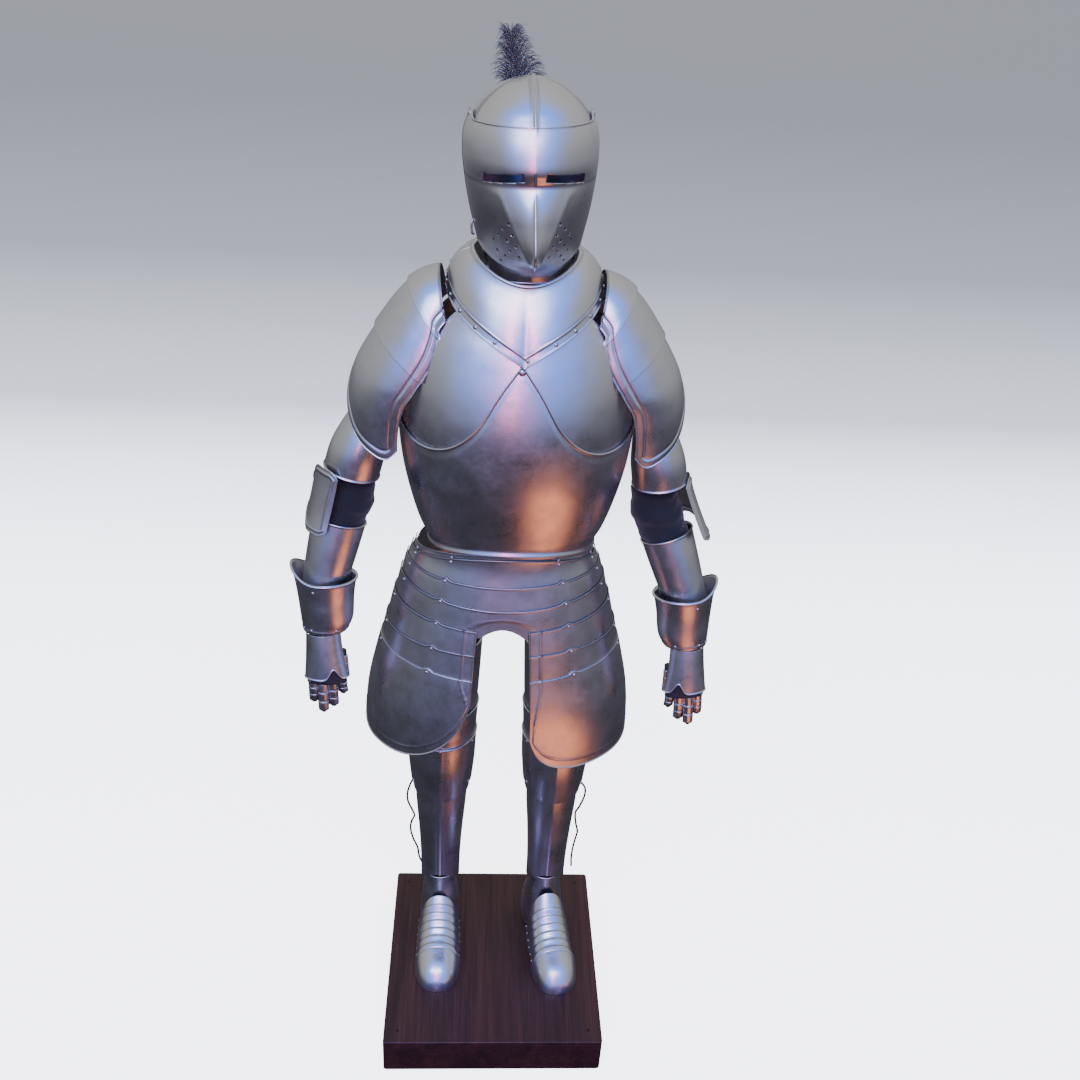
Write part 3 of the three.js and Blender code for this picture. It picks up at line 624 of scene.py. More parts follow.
torso = oval(TORSO, 0, BODY_Y)
plate_piece(
    "raised_plackart", "plackart",
    torso, (-96, 96), lambda deg: WAIST["z"] + WAIST["rise"] * np.maximum(cosine(deg), 0) ** 2,
    plackart_edge,
    cols=96, rows=60, relief=plackart_relief,
)
plate_piece(
    "raised_breastplate", "breastplate",
    torso, (-96, 96), lambda deg: plackart_edge(deg) - BREAST_UNDERLAP,
    lambda deg: along(BREAST_TOP, "z", np.abs(deg)), cols=80, rows=30, out=(-LAP, -2 * LAP),
)
plate_piece(
    "raised_backplate", "backplate",
    torso, (88, 272), BACK_BOTTOM, lambda deg: along(BACK_TOP, "z", 180 - np.abs(180 - deg)),
    cols=64, rows=36, out=(-3.4 * LAP, -3.4 * LAP),
    relief=worked([("high", 3.0)], lines=[("high", 6.5, 0.6)]),
)
rivet_piece(
    "plackart_screw", torso, [PLACKART_SCREW["at"]], 0.4, PLACKART_SCREW["radius"],
    PLACKART_SCREW["height"], around=20,
)

# ---- skirt of lames -----------------------------------------------------------------------------
# Four lames go round the hips and two more down each thigh to a big tasset plate. Each lame's top
# margin lies over the one above and is riveted to leathers inside. A sunk line follows the arch
# between the thighs and the hem of each tasset. Painted shade darkens lines along the laps, the arch
# and the borders.
SKIRT = table(SECTION, [
    (580, 238, 158, 120), (650, 256, 166, 130), (720, 258, 168, 136), (790, 251, 165, 138),
    (860, 236, 157, 136), (930, 218, 146, 130), (1000, 199, 133, 120), (1060, 181, 120, 108),
    (1100, 163, 112, 102), (1140, 152, 110, 98),
])
SKIRT_X = -12
LAME_LINES = ((1128, 1103), (1120, 1092), (1068, 1073), (1025, 1042), (983, 998), (938, 940), (886, 900))
HIP_LAMES = 4
UNDERLAP = 12
ARCH = {"half": 13, "top": 990, "spring": 966}
TASSET = {"middle": 56, "half": 44.2, "outer": 150, "corner": 3.5, "inside": 13, "outside": 100}
CULET = {"back": (1116, 1000), "side": (1106, 985)}
RIVET_DEG = 36
RIVET_DROP = 7
BORDER = 21
CUSP = {"height": 5, "half": 2.2}

skirt = oval(SKIRT, SKIRT_X, BODY_Y)


def lame_line(i, deg):
    """The upper edge of lame i: from its height in front to its height at the sides, with a small cusp
    at each rivet."""
    front, side = LAME_LINES[i]
    cusp = CUSP["height"] * bell(np.abs(deg), RIVET_DEG, CUSP["half"]) if i > 1 else 0
    return side + (front - side) * np.maximum(cosine(deg), 0) ** 2 + cusp


def lame_hem(i, deg):
    """The lower edge of a lame, under the next one. The last of the four rises in a round arch."""
    hem = lame_line(i + 1, deg) - UNDERLAP
    if i != HIP_LAMES - 1:
        return hem
    t = np.abs(deg) / ARCH["half"]
    arch = ARCH["top"] + (ARCH["spring"] - ARCH["top"]) * t * t
    return np.where(t <= 1, np.maximum(hem, arch), hem)


def tasset_hem(deg, cut):
    """The hem of the big plate: a superellipse that turns up at both corners."""
    t = (np.abs(deg) - TASSET["middle"]) / TASSET["half"]
    k = np.minimum(np.abs(t), 1)
    rise = np.where(t < 0, cut["inner"], TASSET["outer"])
    power = np.where(t < 0, cut["corner"], TASSET["corner"])
    return cut["bottom"] + rise * (1 - (1 - k**power) ** (1 / power))


def lame_relief(edge):
    """A thin turned edge where the lame lies over its neighbour, with painted shade along it."""
    d = edge["high"]
    return 0.5 * bell(d, 1.2, 1.3), 1.1 * bell(d, 0.3, 2.0) + 0.2 * bell(d, 3.6, 1.2)


def arch_relief(edge):
    """As a lame, with the sunk line that follows the arch, darkened with painted shade."""
    lift, groove = lame_relief(edge)
    near = 1 - smooth(np.abs(edge["deg"]), ARCH["half"] + 3, ARCH["half"] + 9)
    d = np.hypot(edge["v"] - ARCH["spring"], np.abs(edge["deg"]) * 2.2) - 33
    ridge = 0.8 * bell(d, 10, 1.5) - 0.7 * (1 - smooth(d, 8, 12))
    return lift + ridge * near, groove + 0.7 * bell(d, 13) * near


def bordered(key, hem=False):
    """A lame or the big plate: a border along one side edge, and on the big plate round its hem, parted
    from the field by a raised line, with a line of painted shade just inside it."""
    def relief(edge):
        d = np.minimum(edge["low"], edge[key]) if hem else edge[key]
        lift, groove = (0, 0) if hem else lame_relief(edge)
        lift = lift + border(d, BORDER, 1.5, 0.8, 0.5, 3) + roll(d, 1.6 if hem else 1.5)
        return lift, groove + (0.75 if hem else 0.7) * bell(d, BORDER + 3)
    return relief


for i in range(HIP_LAMES):
    plate_piece(
        f"hip_lame_{i + 1}", f"fauld_lame_{i + 1}",
        skirt, (-98, 98), lambda deg: lame_hem(i, deg), lambda deg: lame_line(i, deg), cols=110, rows=16,
        out=(-LAP - 1, -LAP if i == 0 else 0), relief=arch_relief if i == HIP_LAMES - 1 else lame_relief,
    )
    rivet_piece(f"hip_rivets_{i + 1}", skirt, [
        (a, lame_line(i, a) - RIVET_DROP) for a in (-RIVET_DEG, RIVET_DEG, -72.0, 72.0)
    ])

for side in SIDES:
    name, sign = side["name"], side["sign"]
    across = sorted((sign * TASSET["inside"], sign * TASSET["outside"]))
    inner = "first" if sign > 0 else "last"
    for i in (4, 5):
        plate_piece(
            f"thigh_lame_{i - 3}_{name}", f"tasset_lame_{i - 3}_{name}",
            skirt, across, lambda deg: lame_hem(i, deg), lambda deg: lame_line(i, deg), cols=64, rows=14,
            out=(-LAP, 0), relief=bordered(inner),
        )
    plate_piece(
        "big_tasset_" + name, "tasset_" + name,
        skirt, across, lambda deg: tasset_hem(deg, side["tasset"]), lambda deg: lame_line(6, deg),
        cols=72, rows=56, relief=bordered(inner, hem=True),
    )
    rivet_piece("thigh_rivets_" + name, skirt, [
        (sign * a, lame_line(i, a) - RIVET_DROP) for i in (4, 5, 6) for a in (RIVET_DEG, 80.0)
    ], 0.3)


def culet_edge(i):
    return lambda deg: CULET["side"][i] + (CULET["back"][i] - CULET["side"][i]) * cosine(deg) ** 2


plate_piece(
    "raised_culet", "culet",
    skirt, (94, 266), culet_edge(1), culet_edge(0), cols=64, rows=20, out=(-2.4 * LAP, -2.4 * LAP),
    relief=worked([("low", 2.2)], [("low", 30, 1.5, 1.2)], [("low", 6, 0.6)]),
)

# ---- gorget -------------------------------------------------------------------------------------
# The collar plate over the breast: rolled round the neck, and drawn down in front to a point, with a
# riveted border. A second plate closes it behind.
HEAD = {"x": 3, "y": 75, "z": 1745, "turn": 1.5, "tilt": -2, "pivot_y": 76, "pivot_z": 1832, "ear": 89}
GORGET = table(("at", "half", "front", "back", "side", "front_z", "back_z", "vee"), [
    (0, 82, 89, 82, 1630, 1599, 1644, 0),
    (1, 99, 100, 99, 1626, 1582, 1636, 0.2),
    (2, 114, 114, 114, 1613, 1552, 1612, 0.6),
    (3, 123, 126, 122, 1597, 1516, 1582, 0.9),
    (4, 128, 136, 128, 1580, 1480, 1550, 1),
])
GORGET_BORDER = 17
GORGET_RIVETS = (-84, -70, -54, -38, -22, 2, 22, 38, 54, 70, 84)


def gorget(deg, at):
    """Rings that dip at the front: the height goes from side to front by the cosine squared at the
    neck, and in a straight vee at the lower border."""
    around = np.minimum(np.abs((deg + 180) % 360 - 180), 90)
    c = cosine(deg)
    row = {k: along(GORGET, k, at) for k in GORGET}
    dip = np.where(c > 0, c * c + (1 - (around / 90) ** 0.85 - c * c) * row["vee"], c * c)
    across = HEAD["x"] + row["half"] * sine(deg)
    depth = np.where(c > 0, row["front"], row["back"]) * c
    z = row["side"] + (np.where(c > 0, row["front_z"], row["back_z"]) - row["side"]) * dip
    return np.stack(np.broadcast_arrays(across, BODY_Y + 3 - depth, z), -1)


def gorget_relief(edge):
    """A half-round roll at the neck, and a border with a raised line along the lower edge, with lines of
    painted shade below the roll, inside the raised line and along the lower edge.
    """
    d = edge["low"]
    lift = roll(edge["high"], 3.0) + roll(d, 1.8) + border(d, GORGET_BORDER, 1.6, 1.0, 0.7, 4)
    return lift, 0.8 * bell(d, GORGET_BORDER + 3) + 0.5 * bell(edge["high"], 7, 2) + 0.4 * bell(d, 4.4, 1)


plate_piece(
    "gorget_collar_front", "gorget_front",
    gorget, (-88, 88), 4, 0, cols=96, rows=44, relief=gorget_relief,
)
plate_piece(
    "gorget_collar_back", "gorget_back",
    gorget, (89, 271), 3.6, 0, cols=80, rows=30, relief=gorget_relief,
)
rivet_piece("gorget_rivets", gorget, [(a, 3.72) for a in GORGET_RIVETS], 0.0, 3.4, 2.0)

# ---- legs ---------------------------------------------------------------------------------------
# Cuisse, knee lames, poleyn and greave are wrapped round each leg and held by leathers. The poleyn and
# the greave have a faint keel down the front.
THIGH = table(SECTION, [(640, 66, 70, 60), (720, 72, 76, 68), (800, 76, 82, 76), (900, 80, 88, 82)])
KNEE = table(SECTION, [
    (460, 57, 62, 50), (520, 63, 70, 52), (580, 68, 78, 52), (640, 70, 79, 54), (740, 73, 79, 66),
])
GREAVE = table(SECTION, [
    (215, 43, 47, 42), (240, 42, 43, 40), (300, 43, 45, 47), (380, 47, 52, 60), (450, 52, 57, 66),
    (510, 55, 58, 60),
])
FULL = (0, 360)
KNEE_WRAP = (-108, 108)
SHIN_KEEL = 1.8
SHIN_HEM = {"z": 232, "rise": 32}


def shift(x=0.0, y=0.0, z=0.0):
    """A move, as a 4 by 4 matrix."""
    moved_by = np.eye(4)
    moved_by[:3, 3] = (x, y, z)
    return moved_by


def spin(axis, deg):
    """A turn about X, Y or Z, as a 4 by 4 matrix."""
    c, s = cosine(deg), sine(deg)
    i, j = ((1, 2), (2, 0), (0, 1))["XYZ".index(axis)]
    turned = np.eye(4)
    turned[i, i] = turned[j, j] = c
    turned[i, j], turned[j, i] = -s, s
    return turned


def keel_relief(height):
    """A faint keel down the front, with a turned edge above, and lines of painted shade below the turned
    edge and along the lower edge.
    """
    def relief(edge):
        lift = height * np.exp(-np.abs(edge["deg"]) / 3.0) + roll(edge["high"], 1.4)
        return lift, 0.4 * bell(edge["high"], 4) + 0.3 * bell(edge["low"], 2)
    return relief


def greave_hem(deg):
    return SHIN_HEM["z"] + SHIN_HEM["rise"] * np.maximum(cosine(deg), 0) ** 2


ridged = worked(
    [("high", 1.2)], [("low", 34, 1.5, 1.2), ("low", 56, 1.5, 1.2)], [("low", 36, 0.8), ("low", 58, 0.8)],
)
keeled = keel_relief(SHIN_KEEL)
# Each plate: its name, the solid's name, its sections, its wrap, its ends, its rows and how far it
# stands off.
LEG_PLATES = (
    ("thigh_plate_", "cuisse_", THIGH, FULL, 712, 884, 20, (-LAP, -LAP), keel_relief(0)),
    ("knee_upper_plate_", "knee_upper_lame_", KNEE, KNEE_WRAP, 636, 722, 16, (-LAP, 0), ridged),
    ("knee_cop_", "poleyn_", KNEE, KNEE_WRAP, 522, 650, 26, (0, 0), keeled),
    ("knee_lower_plate_", "knee_lower_lame_", KNEE, KNEE_WRAP, 498, 534, 8, (-LAP, -LAP), keeled),
    ("shin_plate_", "greave_", GREAVE, FULL, greave_hem, 506, 36, (0, 0), keeled),
)
for side in SIDES:
    name = side["name"]
    leg = shift(side["leg_x"], LEG_Y, 0)
    for piece, node, sections, across, lower, upper, rows, out, relief in LEG_PLATES:
        plate_piece(
            piece + name, node + name,
            oval(sections), across, lower, upper, cols=72, rows=rows, out=out, relief=relief, place=leg,
        )
    rivet_piece(
        "knee_rivets_" + name, oval(KNEE), [(a, z) for z in (530, 642) for a in (-62.0, 62.0)], 0.6,
        place=leg,
    )

# ---- shoes --------------------------------------------------------------------------------------
# A sabaton of narrow lames over the instep that ends in a domed toe cap, with a heel cup behind. Sizes
# run along the sole from the ankle, negative towards the toe.
ANKLE = table(SECTION, [
    (90, 45, 46, 92), (130, 44, 46, 86), (176, 40, 46, 54), (216, 36, 39, 36), (250, 35, 37, 33),
])
FOOT = table(("at", "half", "height"), [
    (-205, 0.2, 1), (-204, 6, 9), (-198, 24, 26), (-182, 38, 44), (-148, 46, 56), (-110, 46, 68),
    (-80, 46, 88), (-50, 45, 118), (-36, 44, 132),
])
INSTEP_LINES = (14, 30, 46, 62, 78, 94)
SOLE = (-90, 90)
INSTEP = (-142, -50)
TOE_CAP = (-204.9, -136)
HEEL_CUP = (90, 250)


def foot(deg, at):
    """Arches over the sole, a little fuller than an ellipse, from the toe back to the ankle."""
    def full(t):
        return np.sign(t) * np.abs(t) ** 0.85
    return np.stack(np.broadcast_arrays(
        along(FOOT, "half", at) * full(sine(deg)), at, 1 + along(FOOT, "height", at) * full(cosine(deg)),
    ), -1)


def instep_relief(edge):
    """Overlapping lames: each rises slowly towards its edge and drops in a step, with a line of painted
    shade at each step.
    """
    gaps = [edge["low"] - line for line in INSTEP_LINES]
    lift = sum(1.5 * smooth(d, -14, -1) * (1 - smooth(d, -0.8, 0.8)) for d in gaps)
    return lift, sum(0.9 * bell(d, 1.2, 1.2) for d in gaps)


for side in SIDES:
    name, step = side["name"], side["step"]
    shoe = shift(side["leg_x"], LEG_Y, 0) @ shift(0, step, PLINTH["height"]) @ spin("Z", side["toe"])
    plate_piece(
        "instep_lames_" + name, "sabaton_" + name,
        foot, SOLE, INSTEP[0], INSTEP[1] - step, cols=48, rows=70, relief=instep_relief, place=shoe,
    )
    plate_piece(
        "toe_plate_" + name, "toe_cap_" + name,
        foot, SOLE, *TOE_CAP, cols=48, rows=44, out=(LAP, LAP), place=shoe,
        relief=worked([("high", 1.6)], lines=[("high", 4.5, 0.5)]),
    )
    plate_piece(
        "heel_plate_" + name, "heel_cup_" + name,
        oval(ANKLE), FULL, *HEEL_CUP, cols=64, rows=24, place=shoe @ shift(0, -step, -PLINTH["height"]),
        relief=worked([("high", 1.2)], lines=[("high", 4, 0.4)]),
    )
    spots = [(s * 78, -139 + line) for s in (-1, 1) for line in (0, *INSTEP_LINES)]
    rivet_piece("shoe_rivets_" + name, foot, spots, 0.8, 2.6, 1.8, shoe)

# ---- arms ---------------------------------------------------------------------------------------
# Each arm is a tube above the elbow and one below, joined by a black cloth sleeve, with a couter whose
# wing guards the outer side, a flared cuff and a plate over the back of the hand.
SHOULDER = (219, 95, 1480)
UPPER_ARM = 318
FOREARM = 150
ARM_SECTION = ("at", "x", "half", "front", "back")
UPPER_CANNON = table(ARM_SECTION, [
    (-260, 0, 49, 50, 48), (-215, -1, 48, 52, 50), (-180, -3, 42, 48, 46), (-140, -6, 32, 38, 38),
    (-105, -8, 27, 34, 34),
])
SLEEVE = table(ARM_SECTION, [
    (-64, 0, 38, 39, 39), (-20, -4, 43, 43, 44), (10, -6, 45, 45, 46), (40, -4, 44, 42, 42),
    (58, 0, 41, 38, 36), (76, 0, 38, 36, 32),
])
COUTER = table(SECTION, [
    (-80, 55, 54, 54), (-30, 55, 55, 62), (0, 56, 58, 66), (30, 58, 62, 64), (70, 63, 68, 62),
])
LOWER_CANNON = table(SECTION, [
    (-205, 37, 36, 36), (-150, 41, 41, 41), (-90, 45, 46, 45), (-30, 48, 49, 49),
])
CUFF = table(ARM_SECTION, [
    (-116, 6, 33, 29, 27), (-104, 3, 40, 35, 33), (-80, -1, 47, 41, 40), (-35, 0, 51, 48, 48),
    (0, 0, 56, 56, 55), (36, 0, 64, 64, 62),
])
HAND = table(ARM_SECTION, [
    (-215, 2, 40, 22, 20), (-180, 4, 35, 24, 21), (-140, 6, 31, 25, 22), (-104, 7, 29, 25, 23),
])
ARM_SPANS = {"upper": (-257, -110), "sleeve": (-60, 70), "lower": (-196, -32), "palm": (-213, -112)}
WING = {"low": -60, "high": 64, "draw": 34, "inside": 30, "outside": 100}
CUFF_RIM = {"low": -104, "high": 2, "rise": 26, "at": 95}
KNUCKLES = {"low": -203, "high": -110, "notch": 22, "at": 25, "width": 16}
CUFF_RIVETS = ((20, -14), (-30, -96), (34, -96), (64, -96))
CLOTH_COLOURS = ((0.0018, 0.002, 0.0035), (0.006, 0.0065, 0.011))
# Each finger: where it leaves the hand, its length, its radius, its curl and its splay in degrees.
FINGERS = (
    (-27, -4, -202, 76, 8, 14, -1),
    (-10, -6, -204, 92, 8.5, 8, 0),
    (8, -6, -203, 88, 8.5, 16, 0),
    (24, -2, -198, 70, 8, 24, 2),
    (25, 13, -158, 78, 8.5, 12, 3),
)
FINGER_LAMES = (2, 6, 10)

# Black woven cloth of the sleeves: a plain weave of about a thread a millimetre, on the piece's UV map.
cloth, tree, shader = nodes_of("black_cloth")
woven = place_of(tree, "UV")
threads = [
    wire(
        tree, "ShaderNodeTexWave", {"Vector": woven, "Scale": 160.0, "Distortion": 0.6},
        bands_direction=way,
    ).outputs["Fac"]
    for way in ("X", "Y")
]
weave = maths(tree, "MULTIPLY", *threads)
shade = maths(tree, "MULTIPLY_ADD", weave, 0.5, maths(tree, "MULTIPLY", noise(tree, woven, 40.0, 4.0), 0.5))
feed(tree, shader, {
    "Base Color": ramp(tree, shade, (0.2, CLOTH_COLOURS[0]), (0.8, CLOTH_COLOURS[1])),
    "Normal": bump(tree, weave, 0.5, 0.0005), "Roughness": 0.85, "Sheen Weight": 0.25,
})


def cannon_relief(edge):
    """A rolled edge at both ends of a tube, with a line of painted shade inside each."""
    d = np.minimum(edge["low"], edge["high"])
    return roll(d, 1.8), 0.5 * bell(d, 4.6)


def cloth_folds(edge):
    """Shallow folds that run round the elbow and slant across it."""
    wave = np.sin(edge["v"] / 7.5 + 1.2 * sine(edge["deg"]) + 0.8 * sine(2 * edge["deg"] + 40))
    small = np.sin(edge["v"] / 3.4 + 2.0 * sine(3 * edge["deg"]))
    middle = smooth(edge["low"], 0, 25) * smooth(edge["high"], 0, 25)
    return (1.5 * wave + 0.5 * small) * middle, 0 * edge["v"]


def tube(path, radii, around=14):
    """A closed tube along a path: rings across it of the given radii, ended by a point at each end."""
    step = unit(np.gradient(path, axis=0))
    side = unit(np.cross(step, (0.0, 1.0, 0.05)))
    turn = np.linspace(0, 2 * np.pi, around, endpoint=False)
    ring = side[:, None] * np.cos(turn)[:, None] + np.cross(side, step)[:, None] * np.sin(turn)[:, None]
    points = path[:, None] + ring * np.asarray(radii)[:, None, None]
    i, after, count = np.arange(around), (np.arange(around) + 1) % around, len(path)
    last = (count - 1) * around
    ends = [
        np.column_stack([i, after, np.full(around, count * around)]),
        np.column_stack([last + after, last + i, np.full(around, count * around + 1)]),
    ]
    return np.vstack([points.reshape(-1, 3), path[:1], path[-1:]]), quads_of(count, around)[:, ::-1], *ends


def blunt(t, start, reach, least):
    """1 up to start, then a quarter circle that falls over the reach. least keeps it from closing."""
    return np.sqrt(np.clip(1 - (np.maximum(t - start, 0) / reach) ** 2, least, 1))


def finger_path(x, y, z, length, radius, curl, splay, sign):
    """The middle line of a finger: an even bend that reaches twice its mean curl at the tip."""
    t = np.linspace(0, 1, 16)
    bend = np.radians(curl * (0.3 + 1.4 * t))
    reach = np.cumsum(np.column_stack([0 * t, np.sin(bend), -np.cos(bend)]), 0) * (length - radius) / len(t)
    return moved(reach, spin("Y", sign * splay)) + (-sign * x, y, z + 6)


def over_finger(stretch, radius):
    """Half a tube over the back of a finger, from one knuckle to the next."""
    def form(deg, at):
        i = np.clip(at, 0, len(stretch) - 1.001)
        low = i.astype(int)
        spot = stretch[low] + (stretch[low + 1] - stretch[low]) * (i - low)[..., None]
        size = radius + 2.1 - 0.15 * at
        return spot + np.stack([size * sine(deg), -size * cosine(deg), 0 * deg], -1)
    return form


for side in SIDES:
    name, sign, wing = side["name"], side["sign"], side["wing"]
    upper = shift(sign * SHOULDER[0], *SHOULDER[1:]) @ spin("X", -2) @ spin("Y", -sign * side["lean"])
    fore = upper @ shift(0, 0, -UPPER_ARM - side["reach"] / 2) @ spin("X", -8)
    fore = fore @ spin("Y", -sign * (side["forearm"] - side["lean"]))
    wrist = fore @ shift(0, 0, -FOREARM - side["reach"] / 2)
    wrist = wrist @ spin("Y", -sign * (side["hand"] - side["forearm"]))
    cannon, sleeve, lower_cannon, cuff, hand = (
        oval(rows, 0, 0, sign) for rows in (UPPER_CANNON, SLEEVE, LOWER_CANNON, CUFF, HAND)
    )

    plate_piece(
        "upper_cannon_" + name, "rerebrace_" + name,
        cannon, FULL, *ARM_SPANS["upper"], cols=64, rows=24, relief=cannon_relief, place=upper,
    )
    cloth_sleeve = plate_piece(
        "cloth_sleeve_" + name, "elbow_sleeve_" + name,
        sleeve, FULL, *ARM_SPANS["sleeve"], cols=96, rows=48, wall=1.0, relief=cloth_folds, place=fore,
        fine=False,
        material=cloth, slot="cloth",
    )

    def guard(deg):
        return WING["draw"] * smooth(np.abs(sign * deg - wing), 12, 60)

    plate_piece(
        "elbow_guard_" + name, "couter_" + name,
        oval(COUTER), sorted((sign * (wing - WING["inside"]), sign * (wing + WING["outside"]))),
        lambda deg: WING["low"] + guard(deg), lambda deg: WING["high"] - guard(deg), cols=56, rows=36,
        out=(side["flare"], side["flare"] / 3), place=fore,
        relief=worked(ridges=[("nearest", 9, 2, 1.6)], lines=[("nearest", 12, 0.7)]),
    )
    plate_piece(
        "lower_cannon_" + name, "vambrace_" + name,
        lower_cannon, FULL, *ARM_SPANS["lower"], cols=64, rows=24, relief=cannon_relief, place=fore,
    )
    def rim_line(deg):
        return CUFF_RIM["high"] + CUFF_RIM["rise"] * np.maximum(cosine(deg - sign * CUFF_RIM["at"]), 0) ** 3

    def knuckle_line(deg):
        return KNUCKLES["low"] + KNUCKLES["notch"] * bell(deg, -sign * KNUCKLES["at"], KNUCKLES["width"])

    plate_piece(
        "flared_cuff_" + name, "gauntlet_cuff_" + name,
        cuff, FULL, CUFF_RIM["low"], rim_line, cols=64, rows=36, place=wrist,
        relief=worked([("high", 2.4)], [("low", 6, 1.5, 0.9)], [("high", 6, 0.6), ("low", 8, 0.5)]),
    )
    plate_piece(
        "hand_back_" + name, "hand_plate_" + name,
        hand, (-84, 84), knuckle_line, KNUCKLES["high"], cols=56, rows=36,
        out=(2.6, 2.6), relief=worked([("low", 1.4)], lines=[("low", 4, 0.5)]), place=wrist,
    )
    rivet_piece("arm_rivets_" + name, cuff, [(sign * a, z) for a, z in CUFF_RIVETS], 0.2, place=wrist)

    tubes, lames = [], []
    for x, y, z, length, radius, curl, splay in FINGERS:
        path = finger_path(x, y, z, length + 2, radius, curl, splay, sign)
        t = np.linspace(0, 1, len(path))
        tubes.append(tube(path, radius * (1 - 0.12 * t) * blunt(t, 0.86, 0.15, 0.06)))
        path = finger_path(x, y, z, length, radius, curl, splay, sign)
        lames += [plate(
            over_finger(path[start:start + 5], radius), (-78, 78), 4.0, 0.0, cols=12, rows=5, wall=1.1,
            place=wrist, fine=False,
        )[:2] for start in FINGER_LAMES]
    new_mesh("glove_fingers_" + name, *joined(tubes), leather, slot="leather", place=wrist)
    plate_piece(
        "glove_palm_" + name, "glove_" + name,
        hand, FULL, *ARM_SPANS["palm"], cols=48, rows=24, out=(-2.5, -2.5), wall=2, place=wrist,
        material=leather, slot="leather",
    )
    new_mesh("finger_lames_" + name, *joined([(points, *faces) for points, faces in lames]), steel)

# ---- pauldrons ----------------------------------------------------------------------------------
# Three lames over each shoulder, the last one large, with a bordered front edge. Each lame's upper
# margin lies over the one above.
PAULDRON = table(("at", "x", "z", "half", "rise", "swing"), [
    (0, 108, 1602, 58, 52, 6), (1, 140, 1594, 72, 62, 8), (2, 172, 1577, 78, 72, 12),
    (3, 200, 1547, 83, 84, 16), (4, 226, 1508, 87, 88, 16), (5, 250, 1468, 88, 87, 12),
    (6, 268, 1430, 86, 83, 8), (7, 279, 1385, 82, 80, 2), (8, 283, 1335, 78, 77, 0),
    (9, 283, 1285, 74, 76, 0),
])
PAULDRON_HEM = table(("at", "section"), [
    (-97, 8.6), (-82, 8.95), (-62, 8.75), (-42, 8.35), (-20, 7.6), (0, 6.8), (30, 6.4), (60, 6.9),
    (97, 7.4),
])
PAULDRON_UNDER = LAP + 2
PAULDRON_BORDER = 17
# Each lame: the section it starts at, the one it ends at, and its rows. The last ends at the hem.
LAMES = ((0.78, 2.3, 20), (2, 4.3, 28), (4, None, 48))


def pauldron(sign):
    """Arches from front to back across a crest that runs from the neck down the arm: each point of an
    arch drops along the crest's normal by the rise times 1 - cos, and moves along the crest by the
    swing."""
    def form(deg, at):
        at = np.broadcast_to(at, np.broadcast_shapes(np.shape(deg), np.shape(at))).astype(float)
        here = {k: along(PAULDRON, k, at) for k in PAULDRON}
        down = [along(PAULDRON, k, at + 0.01) - along(PAULDRON, k, at - 0.01) for k in ("x", "z")]
        down_x, down_z = (d / np.hypot(*down) for d in down)
        drop, swing = here["rise"] * (1 - cosine(deg)), here["swing"] * (1 - cosine(deg))
        x = here["x"] + down_z * drop + down_x * swing
        z = here["z"] - down_x * drop + down_z * swing
        return np.stack([sign * x, SHOULDER[1] + here["half"] * sine(deg), z], -1)
    return form


def shoulder_relief(top, hem, last):
    """A turned edge where a lame lies over its neighbour, and a border along the front edge. On the last
    lame the border goes on round the hem. Lines of painted shade run along the turned edge and inside the
    border."""
    def relief(edge):
        d = np.minimum(edge["first"], edge[hem]) if last else edge["first"]
        lift = 1.3 * bell(edge[top], 1.6) + roll(d, 2.0) + border(d, PAULDRON_BORDER, 1.8, 1.4, 0.8, 4)
        return lift, bell(edge[top], 0.8, 2.4) + 0.8 * bell(d, PAULDRON_BORDER + 3)
    return relief


def pauldron_hem(deg):
    return along(PAULDRON_HEM, "section", deg)


for side in SIDES:
    name, way = side["name"], side["sign"]
    form = pauldron(way)
    keys = ("low", "high")[::way]
    for i, (top, hem, rows) in enumerate(LAMES):
        plate_piece(
            f"shoulder_lame_{i + 1}_{name}", f"pauldron_lame_{i + 1}_{name}",
            form, (-96, 96), *(top, hem or pauldron_hem)[::way], cols=72, rows=rows,
            out=(0, -PAULDRON_UNDER)[::way], relief=shoulder_relief(*keys, hem is None),
        )
    spots = [(a, at) for at in (1.0, 2.25, 4.25) for a in (-82, -60, 40, 80)] + [(-50, 4.3)]
    rivet_piece("shoulder_rivets_" + name, form, spots, -0.2)

# ---- helmet -------------------------------------------------------------------------------------
# A close helmet: a skull with a low comb, a bevor under the chin, and over the face a visor drawn out
# to a beak, with two sights and a field of round breaths on each side. The visor turns up on a rivet at
# each temple and is held down by a small hook.
HELMET = table(SECTION, [
    (1590, 70, 68, 70), (1620, 74, 78, 78), (1660, 83, 92, 92), (1700, 92, 102, 102),
    (1745, 99, 110, 110), (1785, 102, 113, 114), (1820, 98, 106, 110), (1848, 81, 90, 95),
    (1868, 59, 67, 72), (1881, 36, 42, 46), (1888, 9, 12, 13),
])
BEAK = table(("at", "reach", "keel"), [
    (1590, 0, 2), (1622, 12, 2.2), (1648, 52, 2.4), (1700, 31, 1.7), (1744, 4, 1.2), (1753, 0, 1),
    (1768, 6, 1), (1790, 5, 1), (1840, 0, 1),
])
CROWN = 1887.5
CROWN_CAP = 9.9
SKULL_EDGE = {"temple": 1812, "nape": 1606, "from": 66, "to": 84}
BEVOR = {"half": 94, "bottom": 1594, "top": 1640}
VISOR = {"top": 1832, "bottom": 1624, "half": 92}
FACET = {"bottom": 1632, "rise": 109, "deg": 31}
SIGHT = {"inner": 16, "outer": 74, "z": 1762, "height": 12, "droop": 6, "near": -10, "far": -170}
COMB = {"height": 2.8, "width": 2.6}
BREATHS = {
    "rows": (4, 4, 4, 1), "first": (24, 1700), "across": (6.4, -10.5), "down": (-2.8, -16), "radius": 2.4,
}
HOOP = {"radius": 5.5, "bar": 1.1, "steps": 32}
